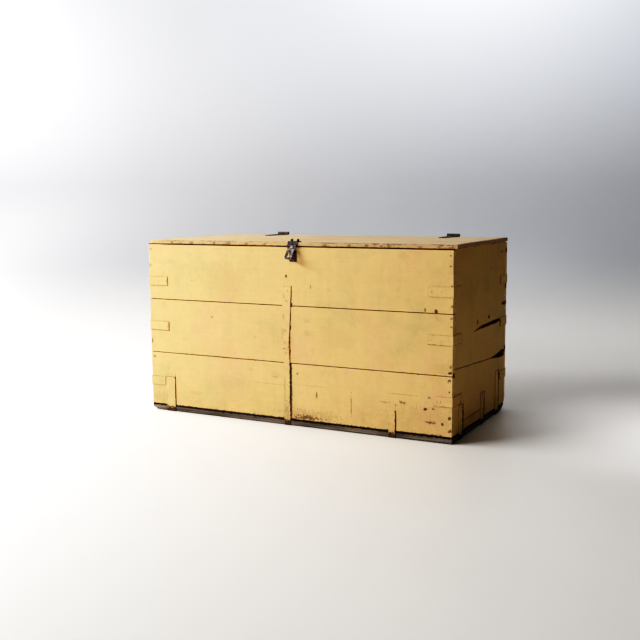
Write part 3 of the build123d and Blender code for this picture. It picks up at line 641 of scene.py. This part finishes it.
def group(name):
    """One of the finishes' node groups, made the first time that it is asked for."""
    scene = bpy.context.scene
    makers = {
        "paint": lambda: paint_group(scene.crate_paint),
        "wood": lambda: wood_group(scene.crate_wood),
        "iron": lambda: iron_group(scene.crate_iron),
        "mark": mark_group,
        "nail": lambda: nail_group(scene.crate_paint, scene.crate_iron),
    }
    if name not in GROUPS:
        GROUPS[name] = makers[name]()
    return GROUPS[name]


def shift_of(name):
    """A number that differs from piece to piece, so that no two have the same grain."""
    return (sum((i + 3) * ord(letter) for i, letter in enumerate(name)) % 997) * 0.137


def paint_on(
    node, grain, brush, wear=0.5, edge_wear=0.3, under=None, tint=(1, 1, 1), marks=(), stains=(),
):
    """Paint for one piece, worn along that piece's own edges."""
    low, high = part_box(node)
    values = {
        "Low": low, "High": high, "Grain": grain, "Brush": brush, "Shift": shift_of(node),
        "Wear": wear * bpy.context.scene.crate_paint.wear, "Edge Wear": edge_wear, "Tint": (*tint, 1),
    }
    if under is not None:
        values["Under"] = (*under, 1)
    shine = 0.4 if "lid" in node else 0.22
    return new_material(
        f"paint_{node}", group("paint"), values, 0.0009, specular=shine, marks=marks, stains=stains,
    )


def slab(axis, place, thick, ragged=2.2, strength=0.8):
    """A mark as wide as the crate and a few millimetres thick: a line along an edge, for wear in some uses
    and painted shadow in others.
    """
    centre, reach = [0.0, 0.0, 0.3], [3.0, 3.0, 3.0]
    centre[axis], reach[axis] = place, thick
    return centre, reach, ragged, strength


def front_marks(table, row):
    """Marks on one front board, as centres and reaches in metres."""
    return [
        ((x * MM, BOARD_FACE, z * MM), (w * MM, MARK_DEPTH, h * MM), ragged, strength)
        for x, z, w, h, ragged, strength in table[row]
    ]


def right_marks(row):
    """Marks on one board of the right end."""
    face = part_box(f"right_end_board_{row}")[1][0]
    return [
        ((face, y * MM, z * MM), (MARK_DEPTH, w * MM, h * MM), ragged, strength)
        for board, y, z, w, h, ragged, strength in RIGHT_MARKS if board == row
    ]


def strap_shadow_marks(row):
    """Painted shadows on the front wall, as dark lines along the right edges of the centre strap and the
    bands.
    """
    marks = []
    if row == "bottom":
        for name, thick in BAND_SHADOWS.items():
            low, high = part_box(f"bottom_band_{name}")
            half = (high[2] - low[2]) / 2
            centre = (high[0] + thick / 2, BOARD_FACE, half * 0.95)
            marks.append((centre, (thick, MARK_DEPTH, half * 1.25), 0.7, 0.95))
        return marks
    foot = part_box("centre_strap")[0][2]
    for rise in STRAP_RISES:
        centre = (STRAP_SHADOW_START + rise * STRAP_LEAN, BOARD_FACE, foot + rise)
        if (row == "top") == (centre[2] > TOP_JOINT):
            marks.append((centre, (0.0024, MARK_DEPTH, 0.034), 0.8, 0.95))
    return marks


def joint_line(place):
    """The dark line along one joint between two boards."""
    return slab(2, place, 0.0009, 1.2, 0.75)


def wood_on(node, grain, light=None, dark=None, marks=()):
    """Bare wood for one piece, turned near black at some marks as painted shade."""
    values = {"Grain": grain, "Shift": shift_of(node)}
    if light is not None:
        values["Light"] = (*light, 1)
        values["Dark"] = (*dark, 1)
    return new_material(f"wood_{node}", group("wood"), values, 0.0010, specular=0.25, marks=marks)


def iron_on(name, rubbed_and_highlit=0.4, rusty=0.5):
    """Bare iron."""
    return new_material(name, group("iron"), {"Rubbed": rubbed_and_highlit, "Rusty": rusty}, 0.0006, metallic=0.45)


# ---- mesh helpers -------------------------------------------------------------------------------


def welded(node):
    """A mesh of a CAD node with its triangles welded and its flat faces whole."""
    bm = bmesh.new()
    bm.from_mesh(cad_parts[node].data)
    bmesh.ops.remove_doubles(bm, verts=bm.verts, dist=1e-6)
    bmesh.ops.dissolve_limit(bm, angle_limit=radians(0.6), verts=bm.verts, edges=bm.edges)
    return bm


def extents(verts):
    """Lowest and highest corner of some vertices."""
    low = Vector([min(v.co[i] for v in verts) for i in range(3)])
    high = Vector([max(v.co[i] for v in verts) for i in range(3)])
    return low, high


def cut_places(low, high, step, rim):
    """Where a span is cut: evenly, and once more close to each end."""
    count = max(1, round((high - low) / step))
    places = [low + (high - low) * i / count for i in range(1, count)]
    if high - low > 4 * rim:
        places = [p for p in places if low + 1.6 * rim < p < high - 1.6 * rim] + [low + rim, high - rim]
    return places


def slice_mesh(bm, steps, rim=0.0025):
    """Cut a mesh into a grid, so that its surface and edges can be shaped."""
    low, high = extents(bm.verts)
    for axis in range(3):
        normal = Vector([1.0 if i == axis else 0.0 for i in range(3)])
        for place in cut_places(low[axis], high[axis], steps[axis], rim):
            parts = bm.verts[:] + bm.edges[:] + bm.faces[:]
            bmesh.ops.bisect_plane(bm, geom=parts, dist=1e-6, plane_co=normal * place, plane_no=normal)


def edge_verts(bm, angle=35.0):
    """The vertices that lie on a sharp edge."""
    found = set()
    for edge in bm.edges:
        if len(edge.link_faces) == 2 and edge.calc_face_angle(0.0) > radians(angle):
            found.update(edge.verts)
    return found


def wear_mesh(bm, chip, wave, seed, scale=28.0, gouge=1.5):
    """Wear a mesh: small bites along its sharp edges, a few deeper ones, and slightly uneven faces."""
    bm.normal_update()
    sharp = edge_verts(bm)
    moves = []
    offset = Vector((seed, seed * 0.37, seed * 0.71))
    for v in bm.verts:
        spot = v.co * scale + offset
        if v in sharp:
            rough = 0.5 + 0.5 * noise.noise(spot * 3.1)
            deep = max(0.0, noise.noise(spot * 0.45) - 0.12) * gouge
            bite = chip * (0.25 * rough + deep * rough * 2.0)
        else:
            bite = wave * (0.5 + 0.5 * noise.noise(v.co * 6.0 + offset))
        moves.append((v, v.normal * bite))
    for v, move in moves:
        v.co -= move


def finish_piece(bm, node, materials, body, ending="worn", angle=32.0):
    """Turn a mesh into a piece that rides on a body and stands for a CAD node."""
    name = f"{node}_{ending}"
    mesh = bpy.data.meshes.new(name)
    bm.to_mesh(mesh)
    bm.free()
    for material in materials:
        mesh.materials.append(material)
    mesh.shade_smooth()
    mesh.set_sharp_from_angle(angle=radians(angle))
    piece = bpy.data.objects.new(name, mesh)
    bpy.context.scene.collection.objects.link(piece)
    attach(piece, body)
    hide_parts(node)


def joint_ways(row, order, way):
    """Which ways the joints face on one board of several that are given in order along an axis."""
    place = order.index(row)
    return [-way] * (place > 0) + [way] * (place < len(order) - 1)


def mark_faces(bm, way):
    """Give the faces that look one way the second material."""
    bm.normal_update()
    for face in bm.faces:
        if face.normal.dot(way) > 0.9:
            face.material_index = 1


def islands(bm):
    """The separate shells of a mesh, as lists of vertices."""
    left = set(bm.verts)
    while left:
        first = left.pop()
        shell, queue = [first], [first]
        while queue:
            for edge in queue.pop().link_edges:
                for v in edge.verts:
                    if v in left:
                        left.remove(v)
                        shell.append(v)
                        queue.append(v)
        yield shell


# ---- boards -------------------------------------------------------------------------------------


def make_board(node, body, grain, brush, inwards, wear, chip=1.0, joints=(), **look):
    """One worn board, painted outside and bare inside and where it meets the next ones."""
    settings = bpy.context.scene.crate_wood
    bm = welded(node)
    slice_mesh(bm, [settings.grid * (1.6 if share == 1.0 else 1.2) for share in grain])
    wear_mesh(bm, settings.chip * chip, 0.0004, shift_of(node))
    for way in (inwards, *joints):
        mark_faces(bm, way)
    materials = [paint_on(node, grain, brush, wear, **look), wood_on(node, grain)]
    finish_piece(bm, node, materials, body)


def make_bare_board(node, body, grain, light, dark, marks=()):
    """One worn board with no paint."""
    settings = bpy.context.scene.crate_wood
    bm = welded(node)
    slice_mesh(bm, [settings.grid * 1.8] * 3)
    wear_mesh(bm, settings.chip * 1.3, 0.0005, shift_of(node))
    finish_piece(bm, node, [wood_on(node, grain, light, dark, marks)], body)


def make_front_board(row):
    """One board of the front wall, with its knocks, stains, dark joints, scuffed foot and painted shadows
    by the straps and under the lid.
    """
    node = f"front_board_{row}"
    low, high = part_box(node)
    foot = slab(2, low[2], 0.003, 2.0, 0.9) if row == "bottom" else joint_line(low[2])
    # On the top board the line along the rim is painted shadow under the lid.
    rim = slab(2, high[2], 0.004, 0.5, 1.0) if row == "top" else joint_line(high[2])
    make_board(
        node, "case", ALONG_X, ALONG_Z, INWARDS["front"], 0.6 if row == "bottom" else 0.3,
        joints=joint_ways(row, WALL_ROWS, UP), edge_wear=0.22, under=FRONT_UNDER,
        marks=[*front_marks(FRONT_MARKS, row), *strap_shadow_marks(row), SPLINTER, foot, rim],
        stains=[*front_marks(FRONT_STAINS, row), slab(0, high[0], 0.002, 0.6, 0.45)],
    )


def make_back_board(row):
    """One board of the back wall, bare in spots at its right end."""
    node = f"back_board_{row}"
    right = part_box(node)[1][0]
    spots = [((right, 0.291, place), (0.02, 0.016, reach), 0.9, 1.0) for place, reach in BACK_SPOTS]
    make_board(
        node, "case", ALONG_X, ALONG_Z, INWARDS["back"], 0.5, 1.4,
        joints=joint_ways(row, WALL_ROWS, UP), edge_wear=0.5, marks=spots,
    )


class CRATE_OT_case_boards(bpy.types.Operator):
    """Build the boards of the case: walls, ends and bottom"""

    bl_idname = "crate.case_boards"
    bl_label = "Case Boards"

    def execute(self, context):
        wood = context.scene.crate_wood
        for row in WALL_ROWS:
            make_front_board(row)
            make_back_board(row)
        for row in END_ROWS:
            joints = joint_ways(row, END_ROWS, UP)
            # The right end's boards take the painted shade of that side in their tint.
            make_board(
                f"right_end_board_{row}", "case", ALONG_Y, ALONG_Z, INWARDS["right"], 0.5,
                joints=joints, edge_wear=0.35, tint=END_SHADE_TINT, under=END_UNDER, marks=right_marks(row),
            )
            make_board(
                f"left_end_board_{row}", "case", ALONG_Y, ALONG_Z, INWARDS["left"], 0.6,
                joints=joints, edge_wear=0.4,
            )
        dark = [c * 0.4 for c in wood.base]
        for row in FLAT_ROWS:
            node = f"bottom_board_{row}"
            # Painted shade: the bottom boards go near black just under the walls and along the floor.
            grime_and_shade = [slab(2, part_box(node)[1][2], 0.0075, 0.7, 1.0), slab(2, 0.0, 0.004, 1.6, 0.9)]
            make_bare_board(node, "case", ALONG_X, wood.base, dark, grime_and_shade)
        return {"FINISHED"}


class CRATE_OT_lid_boards(bpy.types.Operator):
    """Build the lid's boards and the battens under them"""

    bl_idname = "crate.lid_boards"
    bl_label = "Lid Boards"

    def execute(self, context):
        wood = context.scene.crate_wood
        for row in FLAT_ROWS:
            low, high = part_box(f"lid_board_{row}")
            marks = [slab(0, high[0], 0.016, 1.6, 0.6), slab(0, low[0], 0.012, 1.8, 0.5)]
            if row == "front":
                marks.append(slab(1, low[1], 0.0022, 2.4, 0.35))
                for x in LID_EDGE_MARKS:
                    centre = (x * MM, low[1], low[2] + 0.005)
                    marks.append((centre, (0.009, 0.006, 0.0055), 1.0, 0.9))
            joints = joint_ways(row, FLAT_ROWS, Vector((0, 1, 0)))
            # The lid's tint is painted sheen.
            make_board(
                f"lid_board_{row}", "lid", ALONG_X, ALONG_X, INWARDS["lid"], 0.3, 1.5, joints,
                edge_wear=0.8, under=LID_UNDER, tint=LID_SHEEN_TINT, marks=marks,
            )
        for side in ("left", "right"):
            make_bare_board(f"lid_batten_{side}", "lid", ALONG_Y, wood.light, wood.dark)
        return {"FINISHED"}


# ---- straps and bands ---------------------------------------------------------------------------


def outline(node, sides):
    """Dark lines along some edges of a strap, partly worn, rusty edge and partly painted shadow: axis, end
    (0 or 1), half thickness and strength.
    """
    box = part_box(node)
    return [slab(axis, box[end][axis], thick, 3.0, strength) for axis, end, thick, strength in sides]


def make_strap(node, lines, wear=0.5, spots=()):
    """One strap or band, painted with the boards, worn at its edges and rusted at its foot, with painted
    shadow in its edge lines and on its faces on the right end.
    """
    settings = bpy.context.scene.crate_iron
    bm = welded(node)
    slice_mesh(bm, [settings.grid * 1.6] * 3, rim=0.0018)
    wear_mesh(bm, 0.0007, 0.0002, shift_of(node), scale=70.0, gouge=2.0)
    marks = outline(node, lines)
    near_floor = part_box(node)[0][2] < 0.01
    if near_floor:
        marks.append(slab(2, 0.004, 0.017, 0.9, 0.97))
    rust = [c * 0.35 for c in settings.rust]
    grime_and_shade = [
        ((x * MM, STRAP_FACE, z * MM), (w * MM, MARK_DEPTH, h * MM), 1.0, strength)
        for x, z, w, h, strength in spots
    ]
    mark_faces(bm, -INWARDS["right"])
    # The strap faces on the right end take the painted shade of that side.
    tint = END_SHADE_TINT if "right" in node else (1, 1, 1)
    materials = [
        paint_on(node, ALONG_X, ALONG_Z, wear, 0.08, rust, marks=marks, stains=grime_and_shade),
        paint_on(node, ALONG_Y, ALONG_Z, wear, 0.08, rust, tint, marks),
    ]
    finish_piece(bm, node, materials, "case")


class CRATE_OT_straps(bpy.types.Operator):
    """Build the corner straps, the centre strap and the bands"""

    bl_idname = "crate.straps"
    bl_label = "Straps and Bands"

    def execute(self, context):
        for face, side, row in product(("front", "back"), ("left", "right"), ("lower", "middle", "upper")):
            below, above, tip, side_tip = CLEAR_STRAPS[side, row]
            lines = [
                (2, 0, 0.0017, below),
                (2, 1, 0.0012, above),
                (0, int(side == "left"), 0.0018, tip),
                (1, int(face == "front"), 0.004, side_tip),
            ]
            wear = 0.9 if (side, row) == ("right", "middle") else 0.4
            make_strap(f"{face}_{side}_corner_strap_{row}", lines, wear)
        # The strong line at each band's right edge is partly painted shadow.
        band_lines = [(0, 1, 0.0018, 0.9), (0, 0, 0.0008, 0.4), (2, 1, 0.0014, 0.6)]
        for name, spots in BAND_SPOTS.items():
            make_strap(f"bottom_band_{name}", band_lines, spots=spots)
        for side, name in product(("left", "right"), FLAT_ROWS):
            # The broad line at each end band's rear edge is painted shadow.
            make_strap(f"{side}_end_band_{name}", [(1, 1, 0.006, 0.95), (2, 1, 0.002, 0.7)])
        ends = [(2, 1, 0.0016, 0.5), (2, 0, 0.0022, 0.8)]
        make_strap("centre_strap", ends, 0.9, spots=STRAP_SPOTS)
        return {"FINISHED"}


# ---- hinges and hasp ----------------------------------------------------------------------------


def make_iron(node, body, material, grid=0.0035, ease=0.0005, dent=0.0003):
    """One piece of bare ironwork: eased edges and a slightly dented face."""
    bm = welded(node)
    slice_mesh(bm, [grid] * 3, rim=0.0015)
    wear_mesh(bm, ease, dent, shift_of(node), scale=90.0, gouge=1.0)
    finish_piece(bm, node, [material], body)


class CRATE_OT_hinges(bpy.types.Operator):
    """Build both hinges with their pins"""

    bl_idname = "crate.hinges"
    bl_label = "Hinges"

    def execute(self, context):
        iron = iron_on("hinge_iron", 0.05, 0.1)
        for side in ("left", "right"):
            make_iron(f"hinge_lid_leaf_{side}", "lid", iron)
            make_iron(f"hinge_case_leaf_{side}", "case", iron)
            make_iron(f"hinge_pin_{side}", "case", iron)
        return {"FINISHED"}


class CRATE_OT_hasp(bpy.types.Operator):
    """Build the hasp, its pin, the staple and its plate"""

    bl_idname = "crate.hasp"
    bl_label = "Hasp"

    def execute(self, context):
        iron = iron_on("hasp_iron", 0.3, 0.25)
        # The leaf is lightened most: rubbed iron and a painted highlight.
        bright = iron_on("hasp_leaf_iron", 1.0, 0.1)
        dull = iron_on("staple_iron", 0.02, 0.2)
        for node, body, material in (
            ("hasp_plate", "lid", iron),
            ("hasp_pin", "lid", iron),
            ("hasp_leaf", "hasp", bright),
            ("staple_plate", "case", dull),
            ("staple", "case", dull),
        ):
            make_iron(node, body, material, 0.002)
        return {"FINISHED"}


# ---- fasteners ----------------------------------------------------------------------------------

# Length of shank under a head.
SHANK = 0.0015
# Head profiles, from the rim up: share of the radius and share of the rise.
LOW_CROWN = ((1.0, -0.2), (0.86, 0.45), (0.5, 0.85))
HIGH_CROWN = ((1.0, 0.1), (1.0, 0.6), (0.88, 0.85), (0.55, 1.0))
# Seed of the heads' tilts, so that every run gives the same ones.
TILT_SEED = 1


def fastener_places(node):
    """Where each fastener's head is, which way it looks and its radius."""
    bm = bmesh.new()
    bm.from_mesh(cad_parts[node].data)
    bmesh.ops.remove_doubles(bm, verts=bm.verts, dist=1e-6)
    places = []
    for shell in islands(bm):
        low, high = extents(shell)
        size = high - low
        axis = max(range(3), key=lambda i: size[i])
        way = Vector((0, 0, 0))
        centre = (low + high) / 2
        way[axis] = 1.0 if centre[axis] > MIDDLE[axis] else -1.0
        tip = centre + way * size[axis] / 2
        across = min(size[i] for i in range(3) if i != axis)
        places.append((tip, way, across / 2))
    bm.free()
    return sorted(places, key=lambda p: tuple(round(c, 5) for c in p[0]))


def add_head(bm, tip, way, radius, rise, crown):
    """A hammered fastener head: a crown on a stub of shank."""
    before = set(bm.verts)
    tilt = noise.noise_vector(tip * 190.0) * 0.12
    turn = (way + tilt).normalized().to_track_quat("Z", "Y").to_matrix().to_4x4()
    place = Matrix.Translation(tip) @ turn
    ring = [(radius, -SHANK), *((radius * share, rise * height) for share, height in crown)]
    start = place @ Matrix.Translation((0, 0, -SHANK))
    bmesh.ops.create_circle(bm, segments=12, radius=radius, matrix=start)
    loop = [e for e in bm.edges if e.verts[0] not in before and e.verts[1] not in before]
    for (r0, z0), (r1, z1) in zip(ring[:-1], ring[1:]):
        made = bmesh.ops.extrude_edge_only(bm, edges=loop)["geom"]
        verts = [g for g in made if isinstance(g, bmesh.types.BMVert)]
        loop = [g for g in made if isinstance(g, bmesh.types.BMEdge)]
        bmesh.ops.scale(bm, vec=(r1 / r0, r1 / r0, 1), space=place.inverted(), verts=verts)
        bmesh.ops.translate(bm, vec=turn.to_3x3() @ Vector((0, 0, z1 - z0)), verts=verts)
    bmesh.ops.contextual_create(bm, geom=loop)


def make_fasteners(node, body, material, rise, proud, crown=LOW_CROWN):
    """A group of like fasteners: how high their heads rise, and how far past the tips they start."""
    bm = bmesh.new()
    for tip, way, radius in fastener_places(node):
        uneven = 1.0 + 0.12 * noise.noise(tip * 170.0)
        add_head(bm, tip + way * proud, way, radius * uneven, rise, crown)
    bmesh.ops.recalc_face_normals(bm, faces=bm.faces)
    finish_piece(bm, node, [material], body, "heads", angle=50.0)


class CRATE_OT_fasteners(bpy.types.Operator):
    """Build the nails, screws and bolts"""

    bl_idname = "crate.fasteners"
    bl_label = "Fasteners"

    def execute(self, context):
        noise.seed_set(TILT_SEED)
        rusty = iron_on("nail_rust", 0.05, 0.9)
        painted = new_material("nail_paint", group("nail"), {"Rusty": 0.45}, 0.0004)
        strap_paint = new_material("strap_nail_paint", group("nail"), {"Rusty": 0.15}, 0.0004)
        dark = iron_on("screw_iron", 0.2, 0.4)
        rubbed_and_highlit = iron_on("bolt_iron", 0.35, 0.25)
        make_fasteners("wall_nails", "case", painted, 0.0004, -0.0001)
        make_fasteners("strap_nails", "case", strap_paint, 0.0009, -0.0010)
        make_fasteners("lid_nails", "lid", painted, 0.0004, -0.0001)
        make_fasteners("hinge_case_screws", "case", dark, 0.0007, -0.0007)
        make_fasteners("hinge_lid_screws", "lid", dark, 0.0007, -0.0007)
        make_fasteners("hasp_bolts", "lid", rubbed_and_highlit, 0.0075, -0.0078, HIGH_CROWN)
        make_fasteners("staple_plate_nails", "case", rusty, 0.0008, -0.0009)
        return {"FINISHED"}


# ---- stage --------------------------------------------------------------------------------------

FLOOR_COLOUR = (0.90, 0.885, 0.865)
WALL_COLOUR = (0.53, 0.545, 0.59)
# What the room sheds on the crate, and what shows past the floor and the wall.
ROOM_COLOUR = (1.0, 0.90, 0.66, 1)
BEYOND_COLOUR = (0.46, 0.47, 0.49, 1)
# How far from the crate the floor and the wall start to fade and are gone.
FADE = (3.3, 4.6)
# Each light's place, what it looks at, its size and its colour. The wash stands a gap in front
# of the wall's foot, moved by its place, and looks at the wall.
WINDOW = ((-2.42, -1.33, 1.92), (0, 0, 0.3), (4.0, 0.5), (1.0, 0.985, 0.96))
CEILING = ((1.35, 0.2, 1.6), (1.35, 0.2, 0), (0.3, 0.3), (1.0, 0.98, 0.97))
CEILING_SPREAD = radians(50)
WASH_PLACE = Vector((0.9, 0.45, 1.9))
WASH_GAP = 1.5
WASH = ((1.5, 0.4), (0.94, 0.97, 1.0))
# Where the tone curve has its points.
TONE_STEPS = (0.02, 0.05, 0.1, 0.16, 0.24, 0.34, 0.46, 0.6, 0.78)


def studio_material():
    """One pale finish from the floor up the wall, with painted shade at the back left. It is clear from
    behind, so it hides nothing.
    """
    material, tree, place = blank_material("studio")
    across, deep, height = split_axes(tree, place)
    tint = blend(tree, ramp(tree, height, 0.0, 0.5), FLOOR_COLOUR, WALL_COLOUR)
    tint = shaded(tree, tint, ramp(tree, cloud(tree, place, 1.3, 4, 0.6), 0.3, 0.7, 0.975, 1.0))
    # Painted shade: the floor and the wall darken towards the back left, most low down.
    left_back = calc(tree, "SUBTRACT", deep, times(tree, across, 0.7))
    painted_shade = times(tree, ramp(tree, left_back, 0.4, 2.6), ramp(tree, height, 1.6, 0.4))
    tint = blend(tree, times(tree, painted_shade, 0.36), tint, (0, 0, 0))
    shader = add_node(tree, "ShaderNodeBsdfPrincipled", {"Base Color": tint, "Roughness": 0.42})
    clear = add_node(tree, "ShaderNodeBsdfTransparent").outputs[0]
    behind = add_node(tree, "ShaderNodeNewGeometry").outputs["Backfacing"]
    hidden = most(tree, behind, ramp(tree, length_of(tree, place), *FADE))
    result = add_node(tree, "ShaderNodeMixShader", {0: hidden, 1: shader.outputs[0], 2: clear}).outputs[0]
    add_node(tree, "ShaderNodeOutputMaterial", {0: result})
    return material


def add_stage_mesh(name, bm, material):
    """Put a mesh of the stage into the scene."""
    mesh = bpy.data.meshes.new(name)
    bm.to_mesh(mesh)
    bm.free()
    mesh.materials.append(material)
    mesh.shade_smooth()
    piece = bpy.data.objects.new(name, mesh)
    bpy.context.scene.collection.objects.link(piece)


def add_floor(material):
    """A large floor that looks up."""
    bm = bmesh.new()
    bmesh.ops.create_grid(bm, x_segments=2, y_segments=2, size=14.0)
    add_stage_mesh("floor", bm, material)


def add_wall(material, foot, heading, radius=0.9, width=16.0, height=6.0):
    """A wall that rises from the floor in one soft curve."""
    bm = bmesh.new()
    lift = 0.0008
    ends = [bm.verts.new((x, -radius, lift)) for x in (-width / 2, width / 2)]
    edge = bm.edges.new(ends)
    swept = bmesh.ops.spin(
        bm, geom=[edge, *ends], cent=(0, -radius, radius + lift), axis=(1, 0, 0), angle=pi / 2, steps=24
    )
    top = [g for g in swept["geom_last"] if isinstance(g, bmesh.types.BMEdge)]
    raised = bmesh.ops.extrude_edge_only(bm, edges=top)["geom"]
    verts = [g for g in raised if isinstance(g, bmesh.types.BMVert)]
    bmesh.ops.translate(bm, vec=(0, 0, height), verts=verts)
    bmesh.ops.recalc_face_normals(bm, faces=bm.faces)
    bm.normal_update()
    highest = max(bm.faces, key=lambda f: f.calc_center_median().z)
    if highest.normal.y > 0:
        bmesh.ops.reverse_faces(bm, faces=bm.faces)
    place = Matrix.Translation((foot.x, foot.y, 0)) @ Matrix.Rotation(heading, 4, "Z")
    bmesh.ops.transform(bm, matrix=place, verts=bm.verts)
    add_stage_mesh("wall", bm, material)


def set_tone(view, power, shoulder):
    """A tone curve with deep shadows and soft highlights."""
    view.view_transform = "Standard"
    view.look = "None"
    view.exposure = 0.0
    view.gamma = 1.0
    view.use_curve_mapping = True
    all_channels = view.curve_mapping.curves[3]
    for x in TONE_STEPS:
        lifted = x ** power
        all_channels.points.new(x, (1 + shoulder) * lifted / (lifted + shoulder))
    view.curve_mapping.update()


def add_area_light(name, power, place, target, size, colour):
    """A large soft light that looks at a point."""
    light = bpy.data.lights.new(name, "AREA")
    light.shape = "RECTANGLE"
    light.size, light.size_y = size
    light.energy = power
    light.color = colour
    lamp = bpy.data.objects.new(name, light)
    lamp.location = place
    lamp.rotation_mode = "QUATERNION"
    lamp.rotation_quaternion = (Vector(target) - Vector(place)).to_track_quat("-Z", "Y")
    bpy.context.scene.collection.objects.link(lamp)
    return light


def add_camera(settings, stand):
    """The camera, standing and turned as the settings say."""
    data = bpy.data.cameras.new("camera")
    data.lens = settings.lens
    data.sensor_width = 36.0
    data.sensor_fit = "HORIZONTAL"
    data.dof.use_dof = False
    camera = bpy.data.objects.new("camera", data)
    turn = Matrix.Rotation(settings.heading, 4, "Z") @ Matrix.Rotation(pi / 2 - settings.pitch, 4, "X")
    camera.matrix_world = Matrix.Translation(stand) @ turn @ Matrix.Rotation(-settings.roll, 4, "Z")
    bpy.context.scene.collection.objects.link(camera)
    bpy.context.scene.camera = camera


def add_world(strength):
    """Dim light from all round, and a pale surface behind everything."""
    world = bpy.data.worlds.new("room")
    world.use_nodes = True
    tree = world.node_tree
    tree.nodes.clear()
    lit = add_node(tree, "ShaderNodeBackground", {0: ROOM_COLOUR, 1: strength}).outputs[0]
    seen = add_node(tree, "ShaderNodeBackground", {0: BEYOND_COLOUR, 1: 1.0}).outputs[0]
    looking = add_node(tree, "ShaderNodeLightPath").outputs["Is Camera Ray"]
    shade = add_node(tree, "ShaderNodeMixShader", {0: looking, 1: lit, 2: seen}).outputs[0]
    add_node(tree, "ShaderNodeOutputWorld", {0: shade})
    bpy.context.scene.world = world


class CRATE_OT_stage(bpy.types.Operator):
    """Build the floor, the wall, the lights and the camera"""

    bl_idname = "crate.stage"
    bl_label = "Stage"

    def execute(self, context):
        settings = context.scene.crate_stage
        aside, back = sin(settings.bearing), -cos(settings.bearing)
        stand = Vector((settings.distance * aside, settings.distance * back, settings.height))
        ahead = Vector((-sin(settings.heading), cos(settings.heading), 0))
        add_camera(settings, stand)

        studio = studio_material()
        add_floor(studio)
        add_wall(studio, stand + ahead * settings.wall, settings.heading)

        add_area_light("window", settings.key, *WINDOW)
        add_area_light("fill", settings.fill, *CEILING).spread = CEILING_SPREAD
        wash = stand + ahead * (settings.wall - WASH_GAP) + WASH_PLACE
        add_area_light("wash", settings.wash, wash, wash + ahead + UP * 0.1, *WASH)
        add_world(settings.room)
        set_tone(context.scene.view_settings, settings.power, settings.shoulder)
        return {"FINISHED"}


# ---- panel and registration ---------------------------------------------------------------------

OPERATORS = (
    CRATE_OT_stage,
    CRATE_OT_case_boards,
    CRATE_OT_lid_boards,
    CRATE_OT_straps,
    CRATE_OT_hinges,
    CRATE_OT_hasp,
    CRATE_OT_fasteners,
)
SETTINGS = {
    "crate_paint": CratePaintSettings,
    "crate_wood": CrateWoodSettings,
    "crate_iron": CrateIronSettings,
    "crate_stage": CrateStageSettings,
}


class CRATE_PT_panel(bpy.types.Panel):
    """The crate's build steps and their settings"""

    bl_idname = "CRATE_PT_panel"
    bl_label = "Shipping Crate"
    bl_space_type = "VIEW_3D"
    bl_region_type = "UI"
    bl_category = "Crate"

    def draw(self, context):
        for operator in OPERATORS:
            self.layout.operator(operator.bl_idname)
        for label, kind in SETTINGS.items():
            box = self.layout.box()
            for field in kind.__annotations__:
                box.prop(getattr(context.scene, label), field)


def register():
    for kind in (*SETTINGS.values(), *OPERATORS, CRATE_PT_panel):
        bpy.utils.register_class(kind)
    for label, kind in SETTINGS.items():
        setattr(bpy.types.Scene, label, PointerProperty(type=kind))


def unregister():
    for label in SETTINGS:
        delattr(bpy.types.Scene, label)
    for kind in (CRATE_PT_panel, *reversed(OPERATORS), *reversed(SETTINGS.values())):
        bpy.utils.unregister_class(kind)


def main():
    """Register the add-on and run every step in order."""
    register()
    bpy.ops.crate.stage()
    bpy.ops.crate.case_boards()
    bpy.ops.crate.lid_boards()
    bpy.ops.crate.straps()
    bpy.ops.crate.hinges()
    bpy.ops.crate.hasp()
    bpy.ops.crate.fasteners()


if __name__ == "__main__":
    main()
